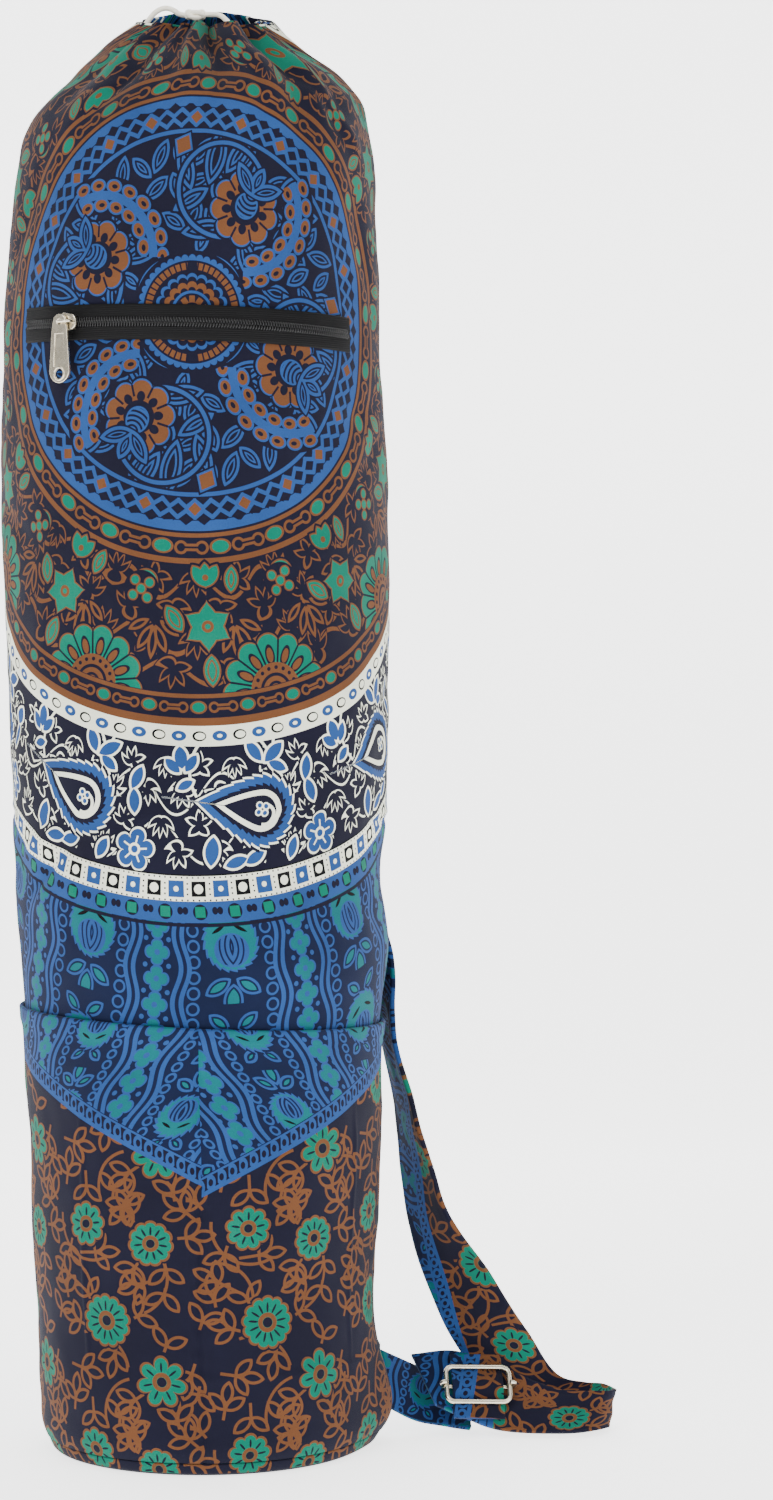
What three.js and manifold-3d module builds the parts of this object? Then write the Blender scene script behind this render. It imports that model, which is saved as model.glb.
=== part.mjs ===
// Yoga mat bag: a soft drawstring tube with a front pocket, a short zip, and a shoulder strap
// whose lower loop and wire buckle lie beside the base. Millimetres, +Z up, front towards -Y.
// The origin is the centre of the base, where the bag stands.
import * as THREE from 'three';
import { mergeVertices } from 'three/addons/utils/BufferGeometryUtils.js';
import Module from 'manifold-3d';

const wasm = await Module();
wasm.setup();

// Driving dimensions
const bagHeight = 646; // front of the mouth above the floor
const bodyRadius = 88.5; // widest part of the tube
const wall = 1.8; // body cloth
const gatherHeight = 46; // height of the gathered cone under the mouth
const pleatDepth = 8;
const mouthRise = 15; // how much higher the mouth stands at the back
const baseThickness = 1.6;
const baseRim = 1.4; // thickness of the bound edge of the base
const baseRimHeight = 6;
const clearance = 0.3; // between pieces that touch
// Bulge low on the right side, where the strap tab is sewn in: turn and spread in degrees
const bulge = { depth: 7, height: 16, tall: 20, turn: 92, spread: 16 };

const pocketHeight = 198; // top hem above the floor, at the front
const pocketTilt = 4; // rise of the hem to the left and its fall to the right
const pocketCloth = 1.5;
const hemCloth = 2.3; // doubled cloth along the pocket's top
const hemHeight = 8;
const pocketSpan = 100; // degrees to each side of the front

const zipHeight = 506.5; // zip's middle line above the floor
const zipDrop = 4; // how much lower its right end is
const zipLeft = -57.5; // degrees from the front
const zipRight = 53.5;
const tapeHeight = 15.5;
const tapeCloth = 0.9;
const coilHeight = 4.4;
const coilDepth = 1.5;

const sliderTurn = -36.5; // degrees from the front
const sliderLength = 9.5;
const sliderHeight = 8.4;
const sliderPlate = 1.6;
const bailWire = 1.3;
const bailSpan = 6.4; // between the bail's two legs
const bailReach = 4.4; // from the slider plate to the middle of the bail's bow

const pullLength = 30;
const pullTop = 8.4; // width below the eye
const pullWidth = 11; // width at the free end
const pullThickness = 1.5;
const pullEye = 1.15; // eye radius
const pullEyeWall = 2.3; // metal round the eye
const pullHole = 1.7; // radius of the hole near the free end
const panelDepth = 0.35; // sunk panel on the pull's face

const cordDiameter = 2.4;
const knotLength = 12.4;
const knotDiameter = 6.6;

const strapWidth = 34;
const strapCloth = 2.2;
const strapTop = 588; // sewn end on the back, above the floor
const strapRise = 183; // where the strap leaves the bag's side
const strapReach = 113; // from the base to the far end of the loop
const strapLift = 0.5; // strap off the bag's back

const buckleLength = 32; // wire buckle, outside
const buckleWidth = 20.5;
const buckleWire = 2.4;
const buckleCorner = 3.6;
const buckleTurn = 5; // degrees that its long side turns from the strap's run
const buckleLift = 0.8; // under the bar, where the strap curves
const barWire = 2;
const tongueWidth = 24; // cloth tongue over the bar
const tongueLength = 33;
const tongueCloth = 1.4;

const aroundStep = 6; // degrees between the facets of the bag

// The tube's outline, foot to mouth: h is a share of bagHeight, r and lean of bodyRadius
const bodyRows = [
  { h: 0.003, r: 0.802, lean: 0 },
  { h: 0.0155, r: 0.842, lean: 0 },
  { h: 0.037, r: 0.85, lean: 0 },
  { h: 0.113, r: 0.85, lean: -0.022 },
  { h: 0.2, r: 0.881, lean: -0.016 },
  { h: 0.285, r: 0.908, lean: -0.03 },
  { h: 0.316, r: 0.927, lean: -0.029 },
  { h: 0.348, r: 0.949, lean: -0.023 },
  { h: 0.409, r: 0.945, lean: -0.054 },
  { h: 0.464, r: 0.974, lean: -0.045 },
  { h: 0.557, r: 0.988, lean: -0.056 },
  { h: 0.658, r: 1, lean: -0.068 },
  { h: 0.774, r: 0.972, lean: -0.081 },
  { h: 0.851, r: 0.949, lean: -0.076 },
  { h: 0.904, r: 0.922, lean: -0.064 },
  { h: 0.926, r: 0.896, lean: -0.054 },
  { h: 0.94, r: 0.855, lean: -0.034 },
  { h: 0.95, r: 0.81, lean: -0.011 },
  { h: 0.96, r: 0.74, lean: 0 },
  { h: 0.971, r: 0.66, lean: -0.006 },
  { h: 0.981, r: 0.558, lean: -0.018 },
  { h: 0.991, r: 0.468, lean: -0.016 },
  { h: 1, r: 0.379, lean: -0.008 },
];

// Valleys of the gathers: turn and spread in degrees, depth a share of pleatDepth,
// reach a share of gatherHeight
const pleats = [
  { turn: -62, depth: 0.6, spread: 11, reach: 0.7 },
  { turn: -26, depth: 1, spread: 9, reach: 1.1 },
  { turn: 6, depth: 1.1, spread: 10, reach: 1.2 },
  { turn: 36, depth: 0.8, spread: 9, reach: 0.9 },
  { turn: 63, depth: 0.8, spread: 9, reach: 1 },
  { turn: 95, depth: 0.7, spread: 10, reach: 0.8 },
  { turn: 128, depth: 0.9, spread: 10, reach: 0.9 },
  { turn: 160, depth: 0.8, spread: 10, reach: 1 },
  { turn: 192, depth: 0.8, spread: 10, reach: 0.9 },
  { turn: 226, depth: 0.9, spread: 10, reach: 0.8 },
  { turn: 262, depth: 0.8, spread: 10, reach: 0.9 },
];

// The strap down the bag's back: turn in degrees from the front, h a share of the way from
// strapTop down to strapRise, off a share of strapWidth away from the bag
const backRun = [
  { turn: 180, h: 0, off: 0 },
  { turn: 180, h: 0.12, off: 0 },
  { turn: 178, h: 0.29, off: 0 },
  { turn: 172, h: 0.46, off: 0 },
  { turn: 160, h: 0.61, off: 0.01 },
  { turn: 145, h: 0.74, off: 0.03 },
  { turn: 128, h: 0.84, off: 0.07 },
  { turn: 114, h: 0.92, off: 0.12 },
];

// The strap's fall to the floor, its fold and its run back to the buckle: out is a share of
// strapReach from the base's side, back of strapWidth, up of strapRise; ax, ay and az reach
// from the strap's lower edge to its upper one, as shares of strapWidth
const frontRun = [
  { out: 0.08, back: 0.62, up: 0.99, ax: 0.12, ay: -0.99, az: 0.13 },
  { out: 0.14, back: 0.65, up: 0.835, ax: 0.18, ay: -0.97, az: 0.14 },
  { out: 0.19, back: 0.68, up: 0.68, ax: 0.35, ay: -0.92, az: 0.15 },
  { out: 0.25, back: 0.74, up: 0.526, ax: 0.48, ay: -0.82, az: 0.28 },
  { out: 0.375, back: 0.82, up: 0.367, ax: 0.76, ay: -0.56, az: 0.36 },
  { out: 0.51, back: 0.94, up: 0.22, ax: 0.92, ay: -0.35, az: 0.3 },
  { out: 0.646, back: 1.03, up: 0.108, ax: 0.9, ay: -0.1, az: 0.2 },
  { out: 0.8, back: 1, up: 0.062, ax: 0.66, ay: 0.08, az: 0.42 },
  { out: 0.93, back: 0.84, up: 0.056, ax: 0.34, ay: 0.16, az: 0.46 },
  { out: 0.995, back: 0.53, up: 0.055, ax: 0.12, ay: 0.24, az: 0.47 },
  { out: 0.93, back: 0.24, up: 0.056, ax: 0.2, ay: 0.34, az: 0.48 },
  { out: 0.773, back: 0.17, up: 0.058, ax: 0.15, ay: 0.45, az: 0.5 },
  { out: 0.62, back: 0.23, up: 0.074, ax: 0.16, ay: 0.54, az: 0.63 },
  { out: 0.49, back: 0.32, up: 0.098, ax: 0.13, ay: 0.64, az: 0.75 },
  { out: 0.35, back: 0.4, up: 0.126, ax: -0.03, ay: 0.64, az: 0.76 },
  { out: 0.215, back: 0.42, up: 0.134, ax: -0.3, ay: 0.5, az: 0.6 },
];
const buckleStation = 13.4; // along frontRun

// Where the short tab is sewn in: turn in degrees, low and high edge as shares of strapWidth
const tabSeat = { turn: 97, low: 0.35, high: 1.17 };

// The tab's way from there, in the columns of frontRun
const tabRun = [
  { out: 0.18, back: 0.6, up: 0.095, ax: -0.11, ay: 0.32, az: 0.74 },
  { out: 0.297, back: 0.76, up: 0.066, ax: -0.1, ay: 0.62, az: 0.56 },
  { out: 0.409, back: 0.74, up: 0.036, ax: 0, ay: 0.84, az: 0.26 },
];

// Route of the drawcord out of the mouth, chosen by hand: to the knot, and from it
const cordToKnot = [
  [-32.9, -7.3, 645.9], [-28.8, -6.5, 649.3], [-26.4, -6, 652.6], [-23.4, -5.5, 655.8],
  [-19.4, -5, 657.4], [-15.6, -5, 656.4], [-12.8, -5, 654.7],
];
const cordFromKnot = [
  [1.1, -5.6, 654.6], [4.6, -11, 653.4], [7.8, -19, 650], [9.7, -25.4, 646.4], [10.8, -29.2, 643],
];
const knotPlace = [-5.9, -5.2, 654.5];

const degrees = Math.PI / 180;
const share = (a, b, t) => a + (b - a) * t;
const smooth = (t) => {
  const s = Math.min(1, Math.max(0, t));
  return s * s * (3 - 2 * s);
};
const bell = (t) => Math.exp(-t * t);
const turnBetween = (a, b) => ((((a - b + 180) % 360) + 360) % 360) - 180;

// How far the gathers cut in and the base bulges out at one row of the outline
function rowRadius(row, turn) {
  const below = (1 - row.h) * bagHeight;
  let radius = row.r * bodyRadius;
  for (const p of pleats) {
    const fade = smooth(1 - below / (p.reach * gatherHeight));
    radius -= pleatDepth * p.depth * fade * bell(turnBetween(turn, p.turn) / p.spread);
  }
  const up = bell((row.h * bagHeight - bulge.height) / bulge.tall);
  return radius + bulge.depth * up * bell(turnBetween(turn, bulge.turn) / bulge.spread);
}

// A point on the tube, off millimetres outside it, at a turn from the front and a height
function onBag(turn, height, off = 0) {
  const h = Math.min(1, Math.max(bodyRows[0].h, height / bagHeight));
  let i = 0;
  while (i < bodyRows.length - 2 && bodyRows[i + 1].h < h) i += 1;
  const [low, high] = [bodyRows[i], bodyRows[i + 1]];
  const t = (h - low.h) / (high.h - low.h);
  const radius = share(rowRadius(low, turn), rowRadius(high, turn), t) + off;
  const lean = share(low.lean, high.lean, t) * bodyRadius;
  const gather = Math.max(0, 1 - (1 - h) * bagHeight / gatherHeight);
  const rise = gather * mouthRise * ((1 - Math.cos(turn * degrees)) / 2) ** 1.5;
  return new THREE.Vector3(
    lean + radius * Math.sin(turn * degrees),
    -radius * Math.cos(turn * degrees),
    height + rise,
  );
}

function outward(geometry) {
  const p = geometry.getAttribute('position');
  const v = [new THREE.Vector3(), new THREE.Vector3(), new THREE.Vector3()];
  let volume = 0;
  for (let i = 0; i < geometry.index.count; i += 3) {
    v.forEach((corner, k) => corner.fromBufferAttribute(p, geometry.index.getX(i + k)));
    volume += v[0].dot(v[1].clone().cross(v[2]));
  }
  if (volume < 0) {
    const index = geometry.index.array;
    for (let i = 0; i < index.length; i += 3) {
      [index[i + 1], index[i + 2]] = [index[i + 2], index[i + 1]];
    }
  }
  geometry.computeVertexNormals();
  return geometry;
}

// A skin through rings of points; its ends are fans, unless the last ring meets the first
function loft(rings, closed) {
  const points = rings.flat();
  const around = rings[0].length;
  const index = [];
  const last = closed ? rings.length : rings.length - 1;
  for (let i = 0; i < last; i += 1) {
    for (let j = 0; j < around; j += 1) {
      const a = i * around + j;
      const b = i * around + (j + 1) % around;
      const c = ((i + 1) % rings.length) * around + j;
      const d = ((i + 1) % rings.length) * around + (j + 1) % around;
      index.push(a, b, d, a, d, c);
    }
  }
  if (!closed) {
    for (const [ring, first, flip] of [[rings[0], 0, true],
      [rings[rings.length - 1], (rings.length - 1) * around, false]]) {
      const middle = ring.reduce((sum, p) => sum.add(p), new THREE.Vector3());
      points.push(middle.divideScalar(around));
      for (let j = 0; j < around; j += 1) {
        const edge = [first + j, first + (j + 1) % around];
        if (flip) edge.reverse();
        index.push(points.length - 1, ...edge);
      }
    }
  }
  const geometry = new THREE.BufferGeometry().setFromPoints(points);
  geometry.setIndex(index);
  return outward(geometry);
}

// A panel between two grids of points, an outer and an inner one, closed along its four edges
function panel(outer, inner) {
  const rows = outer.length;
  const columns = outer[0].length;
  const points = [...outer.flat(), ...inner.flat()];
  const at = (side, i, j) => side * rows * columns + i * columns + j;
  const index = [];
  const quad = (a, b, c, d) => index.push(a, b, c, a, c, d);
  for (let i = 0; i < rows - 1; i += 1) {
    for (let j = 0; j < columns - 1; j += 1) {
      quad(at(0, i, j), at(0, i, j + 1), at(0, i + 1, j + 1), at(0, i + 1, j));
      quad(at(1, i, j), at(1, i + 1, j), at(1, i + 1, j + 1), at(1, i, j + 1));
    }
    quad(at(0, i, 0), at(0, i + 1, 0), at(1, i + 1, 0), at(1, i, 0));
    const end = columns - 1;
    quad(at(0, i, end), at(1, i, end), at(1, i + 1, end), at(0, i + 1, end));
  }
  for (let j = 0; j < columns - 1; j += 1) {
    quad(at(0, 0, j), at(1, 0, j), at(1, 0, j + 1), at(0, 0, j + 1));
    const top = rows - 1;
    quad(at(0, top, j), at(0, top, j + 1), at(1, top, j + 1), at(1, top, j));
  }
  const geometry = new THREE.BufferGeometry().setFromPoints(points);
  geometry.setIndex(index);
  return outward(geometry);
}

// A round wire or cord along a curve, as a skin of rings
function wire(curve, radius, steps, sides, closed) {
  const frames = curve.computeFrenetFrames(steps, closed);
  const rings = [];
  for (let i = 0; i < (closed ? steps : steps + 1); i += 1) {
    const centre = curve.getPointAt(i / steps);
    const ring = [];
    for (let j = 0; j < sides; j += 1) {
      const angle = (j / sides) * 2 * Math.PI;
      ring.push(centre.clone()
        .addScaledVector(frames.normals[i], radius * Math.cos(angle))
        .addScaledVector(frames.binormals[i], radius * Math.sin(angle)));
    }
    rings.push(ring);
  }
  return loft(rings, closed);
}

function solid(geometry) {
  const bare = geometry.clone();
  for (const name of Object.keys(bare.attributes)) {
    if (name !== 'position') bare.deleteAttribute(name);
  }
  const merged = mergeVertices(bare, 1e-4);
  return new wasm.Manifold(new wasm.Mesh({
    numProp: 3,
    vertProperties: new Float32Array(merged.getAttribute('position').array),
    triVerts: new Uint32Array(merged.index.array),
  }));
}

function meshOf(manifold) {
  const mesh = manifold.getMesh();
  const geometry = new THREE.BufferGeometry();
  geometry.setAttribute('position', new THREE.BufferAttribute(mesh.vertProperties, 3));
  geometry.setIndex(new THREE.BufferAttribute(mesh.triVerts, 1));
  geometry.computeVertexNormals();
  return geometry;
}

const turns = (from, to) => {
  const list = [from];
  for (let t = (Math.floor(from / aroundStep) + 1) * aroundStep; t < to; t += aroundStep) {
    list.push(t);
  }
  return [...list, to];
};
const fullTurn = [...Array(360 / aroundStep).keys()].map((k) => k * aroundStep);

// The tube: its outer wall up to the mouth and its inner wall down again
function bagBody() {
  const skin = (off) => bodyRows.map((row) => fullTurn.map(
    (turn) => onBag(turn, row.h * bagHeight, off),
  ));
  const outside = skin(0);
  const inside = skin(-wall).reverse();
  return loft([...outside, ...inside], true);
}

// The round base with its bound edge turned up outside the tube
function basePanel() {
  const low = bodyRows[0].h * bagHeight;
  const ring = (off, height) => fullTurn.map((turn) => {
    const p = onBag(turn, Math.max(height, low), off);
    return p.setZ(height);
  });
  const outer = clearance + baseRim;
  return loft([
    ring(-3.5 * baseRim, 0),
    ring(outer - 1.2 * baseRim, 0.2 * baseRimHeight),
    ring(outer, 0.5 * baseRimHeight),
    ring(outer, baseRimHeight),
    ring(clearance, baseRimHeight),
    ring(clearance, baseThickness),
    ring(-3.5 * baseRim, baseThickness),
  ], false);
}

// The wide patch pocket round the lower front, doubled along its top hem
function pocket() {
  const foot = baseRimHeight + clearance;
  const hem = (turn) => pocketHeight - pocketTilt * Math.sin(turn * degrees);
  const lower = bodyRows.map((row) => row.h * bagHeight)
    .filter((height) => height > foot + 1 && height < pocketHeight - pocketTilt - hemHeight);
  const rows = (turn) => [foot, ...lower, hem(turn) - hemHeight - 0.5, hem(turn) - hemHeight, hem(turn)];
  const thickness = (i, count) => (i >= count - 2 ? hemCloth : pocketCloth);
  const columns = turns(-pocketSpan, pocketSpan);
  const count = lower.length + 4;
  const grid = (outside) => [...Array(count).keys()].map((i) => columns.map((turn) => onBag(
    turn, rows(turn)[i], clearance + (outside ? thickness(i, count) : 0),
  )));
  return panel(grid(true), grid(false));
}

const zipLine = (turn) => zipHeight - zipDrop * (turn - (zipLeft + zipRight) / 2) / (zipRight - zipLeft);

// A band along the zip, between two distances from the bag
function zipBand(height, near, far, left, right) {
  const rows = [-0.5, 0, 0.5];
  const grid = (off) => rows.map((k) => turns(left, right).map(
    (turn) => onBag(turn, zipLine(turn) + k * height, off),
  ));
  return panel(grid(far), grid(near));
}

const tapeFace = clearance + tapeCloth;
const coilFace = tapeFace + clearance + coilDepth;
const plateBack = coilFace + clearance;
const plateFace = plateBack + sliderPlate;

// The slider's own frame: x along the zip, y into the bag, z up
const sliderSeat = onBag(sliderTurn, zipLine(sliderTurn));

// Slider plate with rounded ends, its side flanges and the bail's bow
function zipSlider() {
  const outline = new THREE.Shape();
  const [halfLength, halfHeight] = [sliderLength / 2, sliderHeight / 2];
  const nose = halfHeight * 0.55;
  outline.moveTo(-halfLength, -nose);
  outline.quadraticCurveTo(-halfLength, -halfHeight, -halfLength * 0.4, -halfHeight);
  outline.lineTo(halfLength * 0.5, -halfHeight * 0.8);
  outline.quadraticCurveTo(halfLength, -nose, halfLength, 0);
  outline.quadraticCurveTo(halfLength, nose, halfLength * 0.5, halfHeight * 0.8);
  outline.lineTo(-halfLength * 0.4, halfHeight);
  outline.quadraticCurveTo(-halfLength, halfHeight, -halfLength, nose);
  outline.closePath();
  const plate = new THREE.ExtrudeGeometry(outline, {
    depth: sliderPlate, bevelEnabled: false, curveSegments: 3,
  }).rotateX(Math.PI / 2).translate(0, -plateBack, 0);
  const flangeDepth = coilDepth + 0.5 * sliderPlate;
  const flanges = [-1, 1].map((side) => solid(new THREE.BoxGeometry(
    sliderLength * 0.6, flangeDepth, sliderHeight * 0.14,
  ).translate(0, -plateBack - 0.5 * sliderPlate + flangeDepth / 2, side * sliderHeight * 0.41)));
  const foot = -plateFace + 0.5 * bailWire;
  const bow = -plateFace - bailReach;
  const leg = bailSpan / 2;
  const bend = 0.3 * bailSpan;
  const path = new THREE.CurvePath();
  const point = (x, y) => new THREE.Vector3(x, y, 0);
  path.add(new THREE.LineCurve3(point(-leg, foot), point(-leg, bow + bend)));
  path.add(new THREE.QuadraticBezierCurve3(point(-leg, bow + bend), point(-leg, bow), point(-leg + bend, bow)));
  path.add(new THREE.LineCurve3(point(-leg + bend, bow), point(leg - bend, bow)));
  path.add(new THREE.QuadraticBezierCurve3(point(leg - bend, bow), point(leg, bow), point(leg, bow + bend)));
  path.add(new THREE.LineCurve3(point(leg, bow + bend), point(leg, foot)));
  let body = solid(plate).add(solid(wire(path, bailWire / 2, 18, 8, false)));
  for (const flange of flanges) body = body.add(flange);
  return meshOf(body);
}

// The pull: its eye round the bail's left leg, hanging, with a sunk panel and a round hole
function zipPull() {
  const top = pullEye + pullEyeWall;
  const foot = top - pullLength;
  const shoulder = -1.6 * pullEye;
  const outline = new THREE.Shape();
  outline.absarc(0, 0, top, Math.PI, 0, true);
  outline.quadraticCurveTo(top, shoulder * 0.5, pullTop / 2, shoulder * 1.6);
  outline.lineTo(pullWidth / 2, foot + pullWidth * 0.42);
  outline.quadraticCurveTo(pullWidth / 2, foot, 0, foot);
  outline.quadraticCurveTo(-pullWidth / 2, foot, -pullWidth / 2, foot + pullWidth * 0.42);
  outline.lineTo(-pullTop / 2, shoulder * 1.6);
  outline.quadraticCurveTo(-top, shoulder * 0.5, -top, 0);
  const ring = (x, y, radius) => new THREE.Path().absarc(x, y, radius, 0, 2 * Math.PI, false);
  const holeAt = foot + pullWidth * 0.36;
  outline.holes.push(ring(0, 0, pullEye), ring(0, holeAt, pullHole));
  const plate = new THREE.ExtrudeGeometry(outline, {
    depth: pullThickness, bevelEnabled: false, curveSegments: 6,
  });
  const sunk = new THREE.Shape();
  const [panelTop, panelFoot] = [shoulder * 2.6, holeAt + pullHole * 1.7];
  sunk.moveTo(-pullTop * 0.26, panelTop);
  sunk.lineTo(pullTop * 0.26, panelTop);
  sunk.lineTo(pullWidth * 0.28, panelFoot);
  sunk.lineTo(-pullWidth * 0.28, panelFoot);
  sunk.closePath();
  const cutter = new THREE.ExtrudeGeometry(sunk, { depth: 2 * panelDepth, bevelEnabled: false })
    .translate(0, 0, pullThickness - panelDepth);
  const geometry = meshOf(solid(plate).subtract(solid(cutter)));
  return geometry.rotateX(Math.PI / 2).translate(-bailSpan / 2, -plateFace - 2 * clearance, 0);
}

const vectors = (list) => list.map((p) => new THREE.Vector3(...p));

function drawcord(points) {
  const curve = new THREE.CatmullRomCurve3(vectors(points));
  return wire(curve, cordDiameter / 2, 14, 8, false);
}

function cordKnot() {
  const ball = new THREE.SphereGeometry(0.5, 14, 10).rotateZ(Math.PI / 2);
  ball.deleteAttribute('normal');
  ball.deleteAttribute('uv');
  ball.scale(knotLength, knotDiameter, knotDiameter).translate(...knotPlace);
  return outward(mergeVertices(ball));
}

// Strap stations: the strap's middle line and the vector from one edge to the other
function station(row) {
  return {
    middle: new THREE.Vector3(
      bodyRows[2].r * bodyRadius + row.out * strapReach,
      row.back * strapWidth,
      row.up * strapRise,
    ),
    across: new THREE.Vector3(row.ax, row.ay, row.az).multiplyScalar(strapWidth),
  };
}

// Closely spaced stations down the back, on the bag's own surface
function backStations() {
  const line = new THREE.CatmullRomCurve3(
    backRun.map((row) => new THREE.Vector3(row.turn, row.h * 100, row.off * 100)),
  );
  const steps = 26;
  return [...Array(steps + 1).keys()].map((k) => {
    const row = line.getPoint(k / steps);
    const off = strapLift + strapCloth / 2 + (row.z / 100) * strapWidth;
    const turn = row.x * degrees;
    return {
      middle: onBag(row.x, share(strapTop, strapRise, row.y / 100), off),
      across: new THREE.Vector3(-Math.cos(turn), -Math.sin(turn), 0).multiplyScalar(strapWidth),
    };
  });
}

function tabRoot() {
  const off = 2 * clearance + pocketCloth + 0.55 * strapCloth;
  const [low, high] = [tabSeat.low, tabSeat.high].map(
    (k) => onBag(tabSeat.turn, k * strapWidth, off),
  );
  return { middle: low.clone().lerp(high, 0.5), across: high.sub(low) };
}

// A flat strip of cloth through stations, its section thin and slightly crowned
function strip(stations, cloth, steps) {
  const line = new THREE.CatmullRomCurve3(stations.map((s) => s.middle), false, 'centripetal');
  const edge = new THREE.CatmullRomCurve3(stations.map((s) => s.across), false, 'centripetal');
  const rings = [];
  for (let i = 0; i <= steps; i += 1) {
    const t = i / steps;
    const middle = line.getPoint(t);
    const half = edge.getPoint(t).multiplyScalar(0.5);
    const face = line.getTangent(t).cross(half).normalize().multiplyScalar(cloth / 2);
    rings.push([[-1, -0.6], [1, -0.6], [1, 0.6], [0, 1], [-1, 0.6], [0, -1]]
      .sort((a, b) => Math.atan2(a[1], a[0]) - Math.atan2(b[1], b[0]))
      .map(([u, v]) => middle.clone().addScaledVector(half, u).addScaledVector(face, v)));
  }
  return loft(rings, false);
}

const strapStations = [...backStations(), ...frontRun.map(station)];
const tabStations = [tabRoot(), ...tabRun.map(station)];

// The buckle's own frame on the strap: x along its long side, y down its short side, z off
// the strap's face
function buckleFrame() {
  const i = Math.floor(buckleStation);
  const t = buckleStation - i;
  const [a, b] = [station(frontRun[i]), station(frontRun[i + 1])];
  const middle = a.middle.clone().lerp(b.middle, t);
  const run = a.middle.clone().sub(b.middle).normalize();
  const down = a.across.clone().lerp(b.across, t).normalize().negate();
  const face = run.clone().cross(down).normalize();
  if (face.y > 0) face.negate();
  run.crossVectors(down, face).normalize();
  run.applyAxisAngle(face, buckleTurn * degrees);
  const short = face.clone().cross(run);
  const stack = strapCloth / 2 + buckleLift + barWire + clearance + buckleWire / 2;
  const matrix = new THREE.Matrix4().makeBasis(run, short, face);
  return matrix.setPosition(middle.addScaledVector(face, stack));
}

function wireBuckle() {
  const [x, y] = [(buckleLength - buckleWire) / 2, (buckleWidth - buckleWire) / 2];
  const path = new THREE.CurvePath();
  const p = (u, v) => new THREE.Vector3(u, v, 0);
  const c = buckleCorner;
  const corners = [[x, y, 0, 1], [-x, y, 1, 0], [-x, -y, 0, 1], [x, -y, 1, 0]];
  let from = p(x, -y + c);
  for (const [u, v] of corners) {
    const alongX = Math.abs(from.x - u) > 1e-6;
    const enter = alongX ? p(u - Math.sign(u - from.x) * c, v) : p(u, v - Math.sign(v - from.y) * c);
    const leave = alongX ? p(u, v - Math.sign(v) * c) : p(u - Math.sign(u) * c, v);
    path.add(new THREE.LineCurve3(from, enter));
    path.add(new THREE.QuadraticBezierCurve3(enter, p(u, v), leave));
    from = leave;
  }
  const rings = [];
  const [steps, sides] = [32, 8];
  for (let i = 0; i < steps; i += 1) {
    const centre = path.getPointAt(i / steps);
    const run = path.getTangentAt(i / steps);
    const side = new THREE.Vector3(-run.y, run.x, 0);
    rings.push([...Array(sides).keys()].map((j) => {
      const angle = (j / sides) * 2 * Math.PI;
      return centre.clone().addScaledVector(side, 0.5 * buckleWire * Math.cos(angle))
        .add(p(0, 0).setZ(0.5 * buckleWire * Math.sin(angle)));
    }));
  }
  return loft(rings, true);
}

// The loose bar, its ends bent round the buckle's short sides from behind
function buckleBar() {
  const x = (buckleLength - buckleWire) / 2;
  const around = (buckleWire + barWire) / 2 + clearance;
  const behind = -around;
  const p = (u, w) => new THREE.Vector3(u, 0, w);
  const half = (side) => [
    p(side * (x - around), behind), p(side * x, behind),
    p(side * (x + 0.75 * around), behind * 0.75), p(side * (x + around), 0),
    p(side * (x + 0.75 * around), around * 0.72), p(side * (x + 0.1), around),
  ];
  const points = [...half(-1).reverse(), ...half(1)];
  return wire(new THREE.CatmullRomCurve3(points, false, 'centripetal'), barWire / 2, 26, 8, false);
}

// The cloth tongue: under the buckle's long sides and over its bar
function buckleTongue() {
  const under = -(buckleWire + tongueCloth) / 2 - clearance;
  const overBar = -(buckleWire + barWire) / 2 - clearance + barWire / 2 + clearance + tongueCloth / 2;
  const y = buckleWidth / 2;
  const table = [
    { along: -tongueLength / 2, off: under }, { along: -y - 1, off: under },
    { along: -y + buckleWire, off: under }, { along: -0.35 * y, off: overBar - 0.3 },
    { along: 0, off: overBar + 0.2 }, { along: 0.35 * y, off: overBar - 0.3 },
    { along: y - buckleWire, off: under }, { along: y + 1, off: under },
    { along: tongueLength / 2, off: under },
  ];
  return strip(table.map((row) => ({
    middle: new THREE.Vector3(0, row.along, row.off),
    across: new THREE.Vector3(tongueWidth, 0, 0),
  })), tongueCloth, 24);
}

const looks = {
  print: { color: 0x1d2247, roughness: 0.85, metalness: 0 },
  pocketPrint: { color: 0x22305e, roughness: 0.85, metalness: 0 },
  strapPrint: { color: 0x2a2a4a, roughness: 0.85, metalness: 0 },
  binding: { color: 0x17171f, roughness: 0.9, metalness: 0 },
  tape: { color: 0x151515, roughness: 0.8, metalness: 0 },
  cord: { color: 0xe8e3d0, roughness: 0.8, metalness: 0 },
  metal: { color: 0xc9c2b0, roughness: 0.25, metalness: 1 },
};

function piece(name, geometry, look) {
  const mesh = new THREE.Mesh(geometry, new THREE.MeshStandardMaterial(looks[look]));
  mesh.name = name;
  return mesh;
}

const bag = new THREE.Group();
bag.add(
  piece('bag_body', bagBody(), 'print'),
  piece('base_panel', basePanel(), 'binding'),
  piece('front_pocket', pocket(), 'pocketPrint'),
  piece('zip_tape', zipBand(tapeHeight, clearance, tapeFace, zipLeft, zipRight), 'tape'),
  piece('zip_coil', zipBand(
    coilHeight, tapeFace + clearance, coilFace, zipLeft + 1.5, zipRight - 1.5,
  ), 'tape'),
  piece('drawcord_loop', drawcord(cordToKnot), 'cord'),
  piece('drawcord_run', drawcord(cordFromKnot), 'cord'),
  piece('drawcord_knot', cordKnot(), 'cord'),
  piece('shoulder_strap', strip(strapStations, strapCloth, 2 * strapStations.length), 'strapPrint'),
  piece('strap_tab', strip(tabStations, strapCloth, 12), 'strapPrint'),
);

const slider = new THREE.Group();
slider.position.copy(sliderSeat);
slider.rotation.z = sliderTurn * degrees;
slider.add(
  piece('zip_slider', zipSlider(), 'metal'),
  piece('zip_pull', zipPull(), 'metal'),
);

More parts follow.
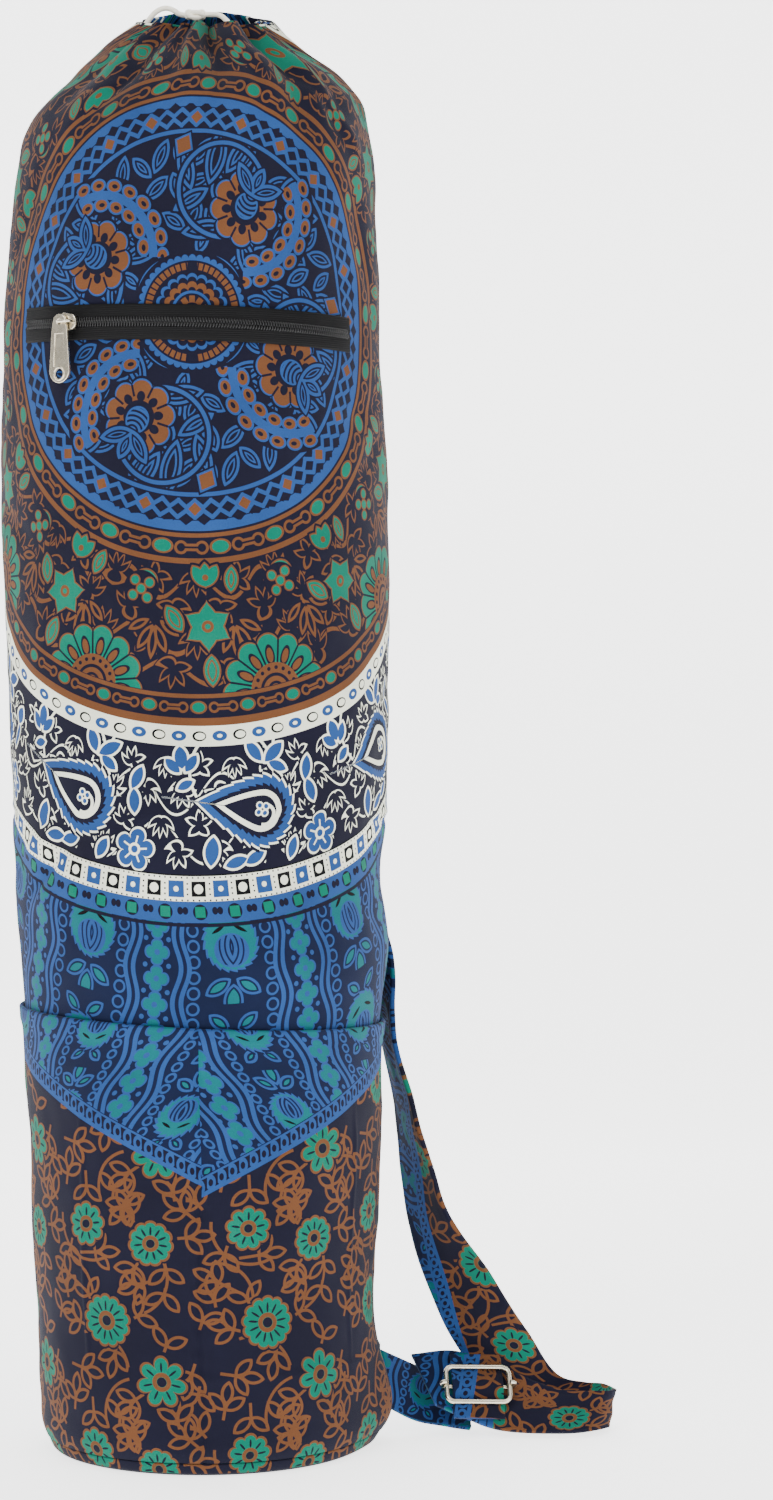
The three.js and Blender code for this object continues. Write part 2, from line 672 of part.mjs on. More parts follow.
const buckle = new THREE.Group();
buckle.applyMatrix4(buckleFrame());
buckle.add(
  piece('buckle_frame', wireBuckle(), 'metal'),
  piece('buckle_bar', buckleBar(), 'metal'),
  piece('buckle_tongue', buckleTongue(), 'strapPrint'),
);

bag.add(slider, buckle);
export default bag;
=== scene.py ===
# Yoga mat bag in block-printed cotton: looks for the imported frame. Metres, +Z up, front towards -Y.
from math import cos, exp, pi, radians, sin
import bmesh
import bpy
import numpy as np
from mathutils import Matrix, Vector, noise


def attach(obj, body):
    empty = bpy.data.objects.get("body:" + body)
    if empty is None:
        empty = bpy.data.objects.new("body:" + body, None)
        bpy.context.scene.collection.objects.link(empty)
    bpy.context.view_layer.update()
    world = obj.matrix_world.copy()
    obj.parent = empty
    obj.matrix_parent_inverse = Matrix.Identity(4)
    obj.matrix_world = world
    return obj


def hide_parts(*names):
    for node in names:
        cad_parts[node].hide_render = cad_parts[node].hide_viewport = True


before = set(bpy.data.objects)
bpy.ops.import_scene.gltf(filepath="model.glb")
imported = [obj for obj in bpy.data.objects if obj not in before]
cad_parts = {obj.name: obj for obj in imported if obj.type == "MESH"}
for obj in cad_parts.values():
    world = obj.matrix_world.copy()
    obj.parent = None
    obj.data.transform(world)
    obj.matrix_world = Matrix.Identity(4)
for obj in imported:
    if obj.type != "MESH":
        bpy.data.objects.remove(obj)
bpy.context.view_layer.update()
scene = bpy.context.scene
mm = 0.001


def linked(name, data):
    piece = bpy.data.objects.new(name, data)
    scene.collection.objects.link(piece)
    return piece


view = {
    "place": (0.0091, -1.6107, 0.3535),
    "yaw": -2.58,  # degrees, less than nothing to the right
    "pitch": -1.23,
    "lens": 84.0,
}


def makeCamera():
    data = bpy.data.cameras.new("camera")
    data.lens = view["lens"]
    data.sensor_width = 36
    camera = linked("camera", data)
    camera.location = view["place"]
    camera.rotation_euler = (radians(90 + view["pitch"]), 0, radians(view["yaw"]))
    scene.camera = camera


makeCamera()
print("camera")

# The drawcord out of the mouth, through its knot and back in, in millimetres
cordRoute = [
    (-32.9, -7.3, 645.9), (-28.8, -6.5, 649.3), (-26.4, -6, 652.6), (-23.4, -5.5, 655.8),
    (-19.4, -5, 657.4), (-15.6, -5, 656.4), (-12.8, -5, 654.7), (-5.9, -5.2, 654.5),
    (1.1, -5.6, 654.6), (4.6, -11, 653.4), (7.8, -19, 650), (9.7, -25.4, 646.4), (10.8, -29.2, 643),
]
cord = {"diameter": 0.0024, "length": 0.0695, "knotLength": 0.0124, "knotWidth": 0.0066}

bag = {
    "height": 0.646,  # front of the mouth above the floor
    "radius": 0.0885,
    "wall": 0.0018,
    "gatherHeight": 0.046,
    "pleatDepth": 0.008,
    "mouthRise": 0.015,
    "baseRim": 0.0014,
    "rimHeight": 0.006,
    "clearance": 0.0003,
    "columns": 300,
    "rows": 210,
}
bulge = {"depth": 0.007, "height": 0.016, "tall": 0.020, "turn": 92, "spread": 16}
pocket = {
    "height": 0.198,
    "tilt": 0.004,
    "cloth": 0.0015,
    "hemCloth": 0.0023,
    "hemHeight": 0.008,
    "span": 100,  # degrees to each side of the front
    "columns": 280,
    "rows": 110,
}
zipper = {
    "height": 0.5065,
    "drop": 0.004,
    "left": -57.5,
    "right": 53.5,
    "tapeHeight": 0.0155,
    "tapeCloth": 0.0009,
    "coilDepth": 0.0015,
    "pitch": 0.0013,
}
slider = {
    "turn": -36.5,
    "length": 0.0095,
    "height": 0.0084,
    "plate": 0.0016,
    "bailWire": 0.0013,
    "bailSpan": 0.0064,
    "bailReach": 0.0044,
    "boss": 0.0008,  # radius and height of the bail's feet
    "pullLength": 0.030,
    "pullTop": 0.0084,
    "pullWidth": 0.011,
    "pullThickness": 0.0015,
    "eye": 0.00115,
    "eyeWall": 0.0023,
    "hole": 0.0017,
}
strap = {
    "width": 0.034,
    "cloth": 0.0022,
    "top": 0.588,
    "rise": 0.183,
    "reach": 0.113,
    "lift": 0.0005,
}
buckle = {
    "length": 0.032,
    "width": 0.0205,
    "wire": 0.0024,
    "corner": 0.0036,
    "turn": 5,
    "lift": 0.0008,
    "bar": 0.002,
    "tongueWidth": 0.024,
    "tongueLength": 0.033,
    "tongueCloth": 0.0014,
}

# The tube's outline, foot to mouth: share of the height, radius and lean as shares of the radius
bodyRows = [
    (0.003, 0.802, 0), (0.0155, 0.842, 0), (0.037, 0.85, 0), (0.113, 0.85, -0.022),
    (0.2, 0.881, -0.016), (0.285, 0.908, -0.03), (0.316, 0.927, -0.029), (0.348, 0.949, -0.023),
    (0.409, 0.945, -0.054), (0.464, 0.974, -0.045), (0.557, 0.988, -0.056), (0.658, 1, -0.068),
    (0.774, 0.972, -0.081), (0.851, 0.949, -0.076), (0.904, 0.922, -0.064), (0.926, 0.896, -0.054),
    (0.94, 0.855, -0.034), (0.95, 0.81, -0.011), (0.96, 0.74, 0), (0.971, 0.66, -0.006),
    (0.981, 0.558, -0.018), (0.991, 0.468, -0.016), (1, 0.379, -0.008),
]
# Valleys of the gathers: turn and spread in degrees, depth a share of the pleats', reach of the gathers'
pleats = [
    (-62, 0.6, 11, 0.7), (-26, 1, 9, 1.1), (6, 1.1, 10, 1.2), (36, 0.8, 9, 0.9), (63, 0.8, 9, 1),
    (95, 0.7, 10, 0.8), (128, 0.9, 10, 0.9), (160, 0.8, 10, 1), (192, 0.8, 10, 0.9),
    (226, 0.9, 10, 0.8), (262, 0.8, 10, 0.9),
]
# Creases that only the cloth has: turn, height, tilt in degrees, half length and half width in metres, depth
creases = [
    (-54, 0.266, 35, 0.020, 0.0035, -0.0030), (-57, 0.279, 20, 0.018, 0.004, 0.0018),
    (45, 0.612, -50, 0.022, 0.004, -0.0028), (56, 0.598, -38, 0.020, 0.004, 0.0018),
    (-8, 0.612, 70, 0.020, 0.0035, -0.0022), (3, 0.604, 96, 0.024, 0.0032, 0.0016),
    (20, 0.612, 110, 0.022, 0.004, -0.0024), (-32, 0.618, 60, 0.020, 0.004, -0.0020),
    (-62, 0.56, 62, 0.030, 0.006, -0.0012), (64, 0.545, -70, 0.034, 0.006, -0.0014),
    (60, 0.470, 20, 0.016, 0.004, -0.0014), (66, 0.452, 34, 0.020, 0.005, -0.0016),
    (58, 0.395, 12, 0.022, 0.005, -0.0010), (-66, 0.42, -25, 0.024, 0.005, -0.0012),
    (70, 0.335, 28, 0.024, 0.005, -0.0014), (-30, 0.24, 8, 0.034, 0.005, -0.0008),
    (25, 0.235, -7, 0.040, 0.005, -0.0009), (62, 0.248, -16, 0.026, 0.005, -0.0016),
    (-70, 0.33, 18, 0.020, 0.005, -0.0013), (110, 0.40, 22, 0.030, 0.006, -0.0016),
    (150, 0.30, -14, 0.040, 0.006, -0.0016), (215, 0.42, 18, 0.040, 0.006, -0.0016),
    (250, 0.28, -20, 0.034, 0.006, -0.0016), (190, 0.52, 10, 0.040, 0.006, -0.0012),
]
# Tucks of the gathers: turn and spread in degrees, depth in metres, reach below the mouth
tucks = [
    (-34, 6, 0.0078, 0.066), (-15, 4.5, 0.0066, 0.058), (4, 5, 0.0078, 0.070), (36, 5.5, 0.0082, 0.074),
    (54, 5, 0.006, 0.06), (-55, 5, 0.006, 0.055), (-25, 6, -0.003, 0.055), (-6, 5, -0.003, 0.05),
    (20, 8, -0.0034, 0.06), (45, 4, -0.0026, 0.055), (76, 5, 0.005, 0.055), (100, 5, 0.005, 0.05),
    (122, 5, 0.0046, 0.055), (146, 5, 0.005, 0.05), (170, 5, 0.0046, 0.055), (194, 5, 0.005, 0.05),
    (218, 5, 0.005, 0.055), (242, 5, 0.0046, 0.055),
]
seamHeight = 0.289  # where the two printed panels of the body are joined
lowRadius = 0.87 * bag["radius"]  # of the lower tube, for its cloth's places
printCentre = (0.5, 511)  # the medallion's, in millimetres along and up the cloth
printRegions = (92, 179)  # distances where the medallion's material and the field's end

# The strap down the back: turn in degrees, share of the way down, share of its width off the bag
backRun = [
    (180, 0, 0), (180, 0.12, 0), (178, 0.29, 0), (172, 0.46, 0),
    (160, 0.61, 0.01), (145, 0.74, 0.03), (128, 0.84, 0.07), (114, 0.92, 0.12),
]
# Its fall to the floor and back to the buckle: out, back and up, then the way across it
frontRun = [
    (0.08, 0.62, 0.99, 0.12, -0.99, 0.13), (0.14, 0.65, 0.835, 0.18, -0.97, 0.14),
    (0.19, 0.68, 0.68, 0.35, -0.92, 0.15), (0.25, 0.74, 0.526, 0.48, -0.82, 0.28),
    (0.375, 0.82, 0.367, 0.76, -0.56, 0.36), (0.51, 0.94, 0.22, 0.92, -0.35, 0.3),
    (0.646, 1.03, 0.108, 0.9, -0.1, 0.2), (0.8, 1, 0.062, 0.66, 0.08, 0.42),
    (0.93, 0.84, 0.056, 0.34, 0.16, 0.46), (0.995, 0.53, 0.055, 0.12, 0.24, 0.47),
    (0.93, 0.24, 0.056, 0.2, 0.34, 0.48), (0.773, 0.17, 0.058, 0.15, 0.45, 0.5),
    (0.62, 0.23, 0.074, 0.16, 0.54, 0.63), (0.49, 0.32, 0.098, 0.13, 0.64, 0.75),
    (0.35, 0.4, 0.126, -0.03, 0.64, 0.76), (0.215, 0.42, 0.134, -0.3, 0.5, 0.6),
]
buckleStation = 13.4
tabSeat = (97, 0.35, 1.17)
tabRun = [
    (0.18, 0.6, 0.095, -0.11, 0.32, 0.74), (0.297, 0.76, 0.066, -0.1, 0.62, 0.56),
    (0.409, 0.74, 0.036, 0, 0.84, 0.26),
]


def smooth(t):
    s = np.clip(t, 0, 1)
    return s * s * (3 - 2 * s)


def bell(t):
    return np.exp(-t * t)


def turnBetween(a, b):
    return (a - b + 180) % 360 - 180


# A smooth line through a table's rows, for arrays of shares
def along(rows, column, share):
    xs = np.array([row[0] for row in rows])
    ys = np.array([row[column] for row in rows], float)
    slopes = np.gradient(ys, xs)
    share = np.clip(share, xs[0], xs[-1])
    i = np.clip(np.searchsorted(xs, share, side="right") - 1, 0, len(xs) - 2)
    gap = xs[i + 1] - xs[i]
    t = (share - xs[i]) / gap
    bend = (t - 2 * t**2 + t**3) * slopes[i] - (t**2 - t**3) * slopes[i + 1]
    return ys[i] + (ys[i + 1] - ys[i]) * (3 * t**2 - 2 * t**3) + bend * gap


# How far the cloth's own creases, its seam and its slackness move it in or out
def slack(turn, height):
    out = np.zeros(np.broadcast(turn, height).shape)
    for at, up, tilt, half, narrow, depth in creases:
        across = np.radians(turnBetween(turn, at)) * bag["radius"]
        rise = height - up
        c, s = cos(radians(tilt)), sin(radians(tilt))
        out += depth * bell((across * c + rise * s) / half) * bell((rise * c - across * s) / narrow)
    for at, spread, depth, reach in tucks:
        near = smooth(1 - (bag["height"] - height) / reach)
        out -= depth * near * bell(turnBetween(turn, at) / spread)
    seam = height - seamHeight - 0.0015 * np.sin(np.radians(turn) * 3)
    out += -0.0009 * bell(seam / 0.0011) + 0.0005 * bell((seam - 0.003) / 0.002)
    return out


# Points on the tube, off metres outside it, for arrays of turns and heights
def onBag(turn, height, off=0.0, crumple=1.0):
    turn, height = np.broadcast_arrays(np.asarray(turn, float), np.asarray(height, float))
    share = height / bag["height"]
    below = (1 - share) * bag["height"]
    radius = along(bodyRows, 1, share) * bag["radius"]
    for at, depth, spread, reach in pleats:
        fade = smooth(1 - below / (reach * bag["gatherHeight"]))
        radius = radius - bag["pleatDepth"] * depth * fade * bell(turnBetween(turn, at) / spread)
    up = bell((height - bulge["height"]) / bulge["tall"])
    radius = radius + bulge["depth"] * up * bell(turnBetween(turn, bulge["turn"]) / bulge["spread"])
    radius = radius + off + crumple * slack(turn, height)
    lean = along(bodyRows, 2, share) * bag["radius"]
    angle = np.radians(turn)
    gather = np.clip(1 - below / bag["gatherHeight"], 0, 1)
    rise = gather * bag["mouthRise"] * ((1 - np.cos(angle)) / 2) ** 1.5
    return np.stack([lean + radius * np.sin(angle), -radius * np.cos(angle), height + rise], -1)


# A mesh object from a grid of points, with its cloth coordinates as the UV map, in metres
def gridPiece(name, points, cloth, closed=False, flip=False):
    rows, columns = points.shape[:2]
    index = np.arange(rows * columns).reshape(rows, columns)
    right = np.roll(index, -1, 1) if closed else index[:, 1:]
    left = index if closed else index[:, :-1]
    quads = np.stack([left[:-1], right[:-1], right[1:], left[1:]], -1).reshape(-1, 4)
    if flip:
        quads = quads[:, ::-1]
    mesh = bpy.data.meshes.new(name)
    mesh.from_pydata(points.reshape(-1, 3).tolist(), [], quads.tolist())
    uv = mesh.uv_layers.new(name="cloth")
    corner = np.zeros(len(mesh.loops), int)
    mesh.loops.foreach_get("vertex_index", corner)
    places = cloth.reshape(-1, 2)[corner]
    if closed:
        width = closed
        quad = places.reshape(-1, 4, 2)
        wide = quad[:, :, 0].max(1) - quad[:, :, 0].min(1) > width / 2
        quad[:, :, 0] = np.where(wide[:, None] & (quad[:, :, 0] < 0), quad[:, :, 0] + width, quad[:, :, 0])
        places = quad.reshape(-1, 2)
    uv.data.foreach_set("uv", places.ravel().astype(np.float32))
    mesh.polygons.foreach_set("use_smooth", [True] * len(mesh.polygons))
    mesh.update()
    return linked(name, mesh)


def joined(name, pieces):
    bpy.ops.object.select_all(action="DESELECT")
    for piece in pieces:
        piece.select_set(True)
    bpy.context.view_layer.objects.active = pieces[0]
    bpy.ops.object.join()
    pieces[0].name = name
    pieces[0].data.name = name
    return pieces[0]


def weld(piece, distance=1e-5):
    tool = bmesh.new()
    tool.from_mesh(piece.data)
    bmesh.ops.remove_doubles(tool, verts=tool.verts, dist=distance)
    bmesh.ops.recalc_face_normals(tool, faces=tool.faces)
    tool.to_mesh(piece.data)
    tool.free()
    return piece


# A curve object turned into a smooth mesh piece
def tube(name, points, radius, closed=False, sides=4, cubic=True):
    data = bpy.data.curves.new(name, "CURVE")
    data.dimensions = "3D"
    data.bevel_depth = radius
    data.bevel_resolution = sides
    data.use_fill_caps = True
    data.resolution_u = 8
    if cubic:
        spline = data.splines.new("BEZIER")
        spline.bezier_points.add(len(points) - 1)
        for knot, place in zip(spline.bezier_points, points):
            knot.co = place
            knot.handle_left_type = knot.handle_right_type = "AUTO"
    else:
        spline = data.splines.new("POLY")
        spline.points.add(len(points) - 1)
        for knot, place in zip(spline.points, points):
            knot.co = (*place, 1)
    spline.use_cyclic_u = closed
    return linked(name, data)


# The mesh of a curve object, moved by a matrix
def asMesh(piece, matrix=None):
    if matrix is not None:
        piece.matrix_world = matrix
        bpy.context.view_layer.update()
    graph = bpy.context.evaluated_depsgraph_get()
    mesh = bpy.data.meshes.new_from_object(piece.evaluated_get(graph))
    name, place = piece.name, piece.matrix_world.copy()
    bpy.data.objects.remove(piece)
    mesh.transform(place)
    mesh.polygons.foreach_set("use_smooth", [True] * len(mesh.polygons))
    return linked(name, mesh)


def colour(red, green, blue):
    parts = [part / 255 for part in (red, green, blue)]
    return tuple(p / 12.92 if p <= 0.04045 else ((p + 0.055) / 1.055) ** 2.4 for p in parts) + (1,)


inks = {
    "navy": colour(19, 19, 37),
    "deep": colour(15, 24, 52),
    "blue": colour(37, 73, 130),
    "brown": colour(104, 65, 39),
    "teal": colour(8, 108, 87),
    "sea": colour(12, 98, 104),
    "cream": colour(244, 246, 226),
    "black": colour(9, 9, 12),
}


# One output of a shader node: arithmetic on these makes the maths nodes
class Socket:
    def __init__(self, tree, output=None):
        self.tree = tree
        self.output = output

    # Any other node, by its type, its settings and its inputs by name or number
    def node(self, kind, settings=(), values=()):
        made = self.tree.nodes.new("ShaderNode" + kind)
        for name, value in dict(settings).items():
            setattr(made, name, value)
        for slot, value in dict(values).items():
            if isinstance(value, Socket):
                self.tree.links.new(value.output, made.inputs[slot])
            else:
                made.inputs[slot].default_value = value
        return made

    def of(self, made, slot=0):
        return Socket(self.tree, made.outputs[slot])

    def math(self, operation, *values):
        return self.of(self.node("Math", {"operation": operation}, enumerate(values)))

    def __add__(self, other):
        return self.math("ADD", self, other)

    def __sub__(self, other):
        return self.math("SUBTRACT", self, other)

    def __rsub__(self, other):
        return self.math("SUBTRACT", other, self)

    def __mul__(self, other):
        return self.math("MULTIPLY", self, other)

    __rmul__ = __mul__

    def __truediv__(self, other):
        return self.math("DIVIDE", self, other)

    def __abs__(self):
        return self.math("ABSOLUTE", self)

    def __lt__(self, other):
        return self.math("LESS_THAN", self, other)

    def __gt__(self, other):
        return self.math("GREATER_THAN", self, other)

    # Both masks, and either mask
    def __and__(self, other):
        return self.math("MULTIPLY", self, other)

    def __or__(self, other):
        return self.math("MAXIMUM", self, other)

    def least(self, *others):
        made = self
        for other in others:
            made = made.math("MINIMUM", made, other)
        return made

    def noise(self, place, scale, detail):
        return self.of(self.node("TexNoise", (), {"Vector": place, "Scale": scale, "Detail": detail}))

    def timesPlus(self, factor, extra):
        return self.math("MULTIPLY_ADD", self, factor, extra)

    # The nearer distance to a multiple of period, with and without its sign
    def wrap(self, period):
        return self.math("WRAP", self, period / 2, -period / 2)

    def fold(self, period):
        return self.math("PINGPONG", self, period / 2)

    def sine(self):
        return self.math("SINE", self)

    def cosine(self):
        return self.math("COSINE", self)


# Distance from a point and turn about it, clockwise from +y
def polar(x, y):
    return hypotenuse(x, y), x.math("ARCTAN2", x, y)


def hypotenuse(x, y):
    square = y.timesPlus(y, x * x)
    return square.math("SQRT", square)


# Coordinates in one of the copies on a ring: x along the ring and y outward
def onRing(r, a, copies, radius, start=0.0):
    local = (a - radians(start)).wrap(2 * pi / copies)
    return r * local.sine(), (r * local.cosine()) - radius


def turned(x, y, at, angle):
    c, s = cos(radians(angle)), sin(radians(angle))
    u = x.timesPlus(c, y.timesPlus(-s, at[1] * s - at[0] * c))
    v = x.timesPlus(s, y.timesPlus(c, -at[0] * s - at[1] * c))
    return u, v


# Distance to a pointed leaf's edge, less than nothing inside; its long way turns clockwise from +y
def leaf(x, y, at, angle, long, wide):
    u, v = turned(x, y, at, angle)
    curve = (long**2 + wide**2) / (4 * wide)
    return hypotenuse(abs(u) + (curve - wide / 2), v) - curve


def leaves(x, y, *rows):
    first, *others = (leaf(x, y, *row) for row in rows)
    return first.least(*others)


# About 0 at an oval's edge, less inside
def oval(x, y, at, long, wide):
    u = (x - at[0]) / (wide / 2) if at[0] else x / (wide / 2)
    v = (y - at[1]) / (long / 2) if at[1] else y / (long / 2)
    return hypotenuse(u, v) - 1


# The radius of a flower's scalloped edge at a turn
def scallop(a, petals, radius, depth):
    lobes = abs((a * (petals / 2)).cosine())
    return lobes.math("SQRT", lobes) * depth + (radius - depth)


# The colours of a print, laid one over another
class Print:
    def __init__(self, ground):
        self.colour = inks[ground]

    def lay(self, ink, mask):
        made = mask.node("Mix", {"data_type": "RGBA"}, {0: mask, 6: self.colour, 7: inks[ink]})
        self.colour = mask.of(made, 2)

    # Inks laid one after another, each inside its own distance from an edge
    def layers(self, edge, *steps, where=None):
        for ink, limit in steps:
            mask = edge < limit
            self.lay(ink, mask & where if where else mask)


# Teal inside a brown line
def layOutlined(cloth, edge, line, inside):
    cloth.layers(edge, ("brown", line), ("teal", inside))


# The medallion's middle, inside its blue rim, in millimetres about its centre
def medallion(cloth, r, a):
    cloth.lay("blue", r > 89.6)
    band = r - 84.6
    small = (a * 84.6).fold(2 * pi * 84.6 / 72)
    half = (a * 84.6 + pi * 84.6 / 72).fold(2 * pi * 84.6 / 72)
    cloth.lay("blue", abs(band) < 4.6)
    cloth.lay("navy", small * 0.82 + abs(band) < 2.5)
    cloth.lay("navy", half * 0.82 + abs(abs(band) - 4.4) < 2.6)
    square = (a * 84.6).fold(2 * pi * 84.6 / 24) + abs(band)
    cloth.layers(square, ("blue", 4), ("brown", 2.9))
    cloth.lay("blue", abs(r - 78.4) < 0.9)
    inside = r < 76.6
    # Small leaves all over the ground
    for copies, radius, start, tilt, long, wide in (
            (22, 69, 3, 34, 15, 6), (22, 67, 11, -26, 12, 5.4), (18, 56, 2, 64, 14, 6),
            (18, 54, 12, -12, 13, 6), (14, 41, 0, 26, 14, 6.4), (14, 40, 13, -44, 12, 5.6),
            (10, 31, 8, 12, 11, 5)):
        x, y = onRing(r, a, copies, radius, start)
        blade = leaf(x, y, (0, 0), tilt, long, wide)
        cloth.layers(blade, ("navy", 1.5), ("blue", 0.5), ("navy", -0.7), where=inside)
        cloth.lay("blue", (abs(blade + 1.9) < 0.34) & inside)
    x, y = onRing(r, a, 4, 51, 28.3)
    # Blue leaves between the flowers, all bending the same way round
    fr, fa = polar(x, y)
    fan = leaves(
        x, y, ((-23, 13), -14, 24, 8), ((-14, 19), 8, 19, 6.4), ((-33, 2), -44, 19, 6.4),
        ((-12, -17), 52, 20, 7), ((11, -18.5), -48, 19, 6.8), ((17, 22.5), 42, 16, 6), ((-24, -9), 30, 17, 6))
    cloth.layers(fan, ("navy", 1.6), ("blue", 0.6), ("navy", -0.7), where=inside)
    cloth.lay("blue", (abs(fan + 2.1) < 0.42) & inside)
    # Long curling stems
    curl = abs(hypotenuse(x + 13, y - 2) - 20.5)
    curl = curl.least(abs(hypotenuse(x - 2, y + 41) - 16))
    cloth.lay("navy", (curl < 2) & inside & (r > 26))
    cloth.lay("blue", (curl < 0.9) & inside & (r > 26))
    bud = abs(x + 39) + abs(y - 10) * 0.8
    cloth.layers(bud, ("navy", 6), ("blue", 5), ("brown", 3.9))
    # Two arcs of beads round the flower
    part = abs(fa - radians(94)) < radians(59)
    cloth.lay("navy", (abs(fr - 27.2) < 8.4) & part)
    cloth.lay("blue", (abs(fr - 27.2) < 1.9) & part)
    for radius, step in ((31.4, 15.8), (22.9, 20)):
        bx = ((fa - radians(42)).wrap(radians(step))) * radius
        bead = hypotenuse(bx / 3.1, (fr - radius) / 2.3)
        cloth.layers(bead, ("blue", 1.36), ("brown", 1), where=part)
        cloth.lay("navy", (hypotenuse((bx - 0.4) / 1.5, (fr - radius) / 0.9) < 1) & part)
    # The flower, open outward round a striped bulb
    edge = fr - scallop(fa, 9, 15.8, 3.4)
    cloth.layers(edge, ("navy", 2), ("blue", 0.8), ("brown", 0))
    mark = (fa - radians(20)).wrap(radians(40)) * fr
    cloth.lay("navy", (abs(mark) < 0.5) & (fr < 14) & (fr > 9))
    centred = fa.wrap(radians(40)) * fr
    cloth.lay("navy", hypotenuse(centred / 1.9, (fr - 9) / 2.2) < 1)
    cloth.lay("navy", fr < 7.2)
    bulb = hypotenuse(x / 5.4, (y - 1.4) / 6)
    cloth.lay("blue", bulb < 1)
    cloth.lay("navy", (hypotenuse(x, y - 7).wrap(2.1) > 0.1) & (bulb < 0.86))
    sepal = leaf(abs(x), y, (5.6, 11.4), 54, 15, 5.6).least(leaf(x, y, (0, 14), 0, 11, 5))
    cloth.layers(sepal, ("navy", 1.5), ("blue", 0.7), ("navy", -0.8))
    cloth.lay("blue", abs(sepal + 1.9) < 0.3)
    # The rosette in the middle
    cloth.lay("navy", r < 26.5)
    cloth.lay("blue", r < scallop(a, 44, 24.8, 1.8))
    cloth.lay("navy", r < 22.2)
    cloth.lay("brown", (abs(r - 19.8) < 1.5) & ((a * 19.8).fold(2.6) > 0.35) & (a.fold(pi / 2) * r > 2.2))
    cloth.lay("blue", abs(r - scallop(a, 20, 16, 2)) < 0.75)
    cloth.lay("brown", abs(r - scallop(a, 16, 12, 2)) < 1.2)
    cloth.lay("blue", abs(r - 8.6) < 0.6)
    cloth.lay("brown", (abs(r - 5.6) < 1.5) & (a.fold(pi / 5) * r < 1.3))
    cloth.lay("blue", r < 2.2)


def link(x, y, apart, radius):
    ends = hypotenuse(abs(x) - apart, y) - radius
    bar = (abs(y) - radius * 0.42) | (abs(x) - apart)
    return ends.least(bar)


# The ring of ovals and links round the medallion, and the flowery field outside it
def field(cloth, r, a):
    cloth.lay("blue", r < 94)
    cloth.lay("brown", abs(r - 95.9) < 0.9)
    x, y = onRing(r, a, 25, 101, 1)
    layOutlined(cloth, oval(x, y, (0, 0), 5.2, 7.4), 0.3, 0)
    lx, ly = onRing(r, a, 25, 101, 8.2)
    chain = link(lx, ly, 4.6, 2.4)
    cloth.lay("brown", (abs(chain) < 0.6))
    cloth.lay("brown", abs(r - 106.9) < 1.2)
    where = (r > 108.6) & (r < 164)
    vines(cloth, r, a, where)
    # Tulips, stars, drops and clusters of dots
    x, y = onRing(r, a, 12, 135, -2)
    drops = leaves(x, y, ((-11.3, -20), 4, 11, 5.4), ((14.4, -3.9), 150, 12.5, 6.4),
                   ((-1, 19), 0, 13, 6.6), ((25, -22), 128, 9, 6))
    cloth.lay("navy", (drops < 1.5) & where)
    layOutlined(cloth, drops, 0.7, -0.1)
    cloth.lay("brown", abs(drops + 1.5) < 0.3)
    tx, ty = x, y + 21
    cup = leaf(abs(tx), ty, (2.6, -0.6), -30, 10, 5).least(leaf(tx, ty, (0, -1), 0, 10, 4.6))
    cloth.lay("navy", cup < 1.7)
    layOutlined(cloth, cup, 0.7, 0)
    cloth.lay("brown", hypotenuse(tx, ty) < 1.3)
    sr, sa = polar(x, y)
    share = sa.fold(pi / 3) * (3 / pi)
    star = sr - (11 - share.math("SQRT", share) * 6.2)
    cloth.lay("navy", star < 1.9)
    layOutlined(cloth, star, 0.8, 0)
    cloth.lay("brown", abs(sr - 1.9) < 0.7)
    x, y = onRing(r, a, 12, 121, 11.6)
    cloth.lay("navy", hypotenuse(x, y) < 8)
    dots = hypotenuse(abs(x) - 3.3, abs(y) - 3.3).least(hypotenuse(x, y))
    layOutlined(cloth, dots, 2.5, 1.8)
    # Half rosettes on the outer border
    x, y = onRing(r, a, 12, 166, 17.5)
    hr, ha = polar(x, y)
    petal = hr - scallop(ha + pi / 13, 13, 24.5, 4.4)
    cloth.lay("navy", petal < 1.8)
    layOutlined(cloth, petal, 0.7, -0.1)
    beside = ha.wrap(2 * pi / 13) * hr
    cloth.lay("navy", (abs(beside) < 0.45) & (hr > 12) & (hr < 22))
    middle = (ha - pi / 13).wrap(2 * pi / 13) * hr
    heart = hypotenuse(middle / 1.7, (hr - 15.4) / 3.6)
    cloth.layers(heart, ("navy", 1.3), ("brown", 0.9))
    cloth.lay("brown", hr < 12)
    cloth.lay("navy", hypotenuse(ha.wrap(2 * pi / 17) * 9.8, hr - 9.8) < 0.85)
    cloth.lay("navy", abs(hr - 6.8) < 0.7)
    cloth.lay("navy", abs(hr - 3.4) < 0.6)
    # The chain border
    cloth.lay("navy", r > 163.6)
    cloth.lay("brown", abs(r - 164.8) < 0.9)
    x, y = onRing(r, a, 48, 169.6)
    layOutlined(cloth, oval(x, y, (0, 0), 4.2, 5.6), 0.36, 0)
    lx, ly = onRing(r, a, 48, 169.6, 3.75)
    cloth.lay("brown", abs(link(lx, ly, 4.2, 1.9)) < 0.55)
    cloth.lay("brown", r > 174.2)
    cloth.lay("cream", r > 177.6)


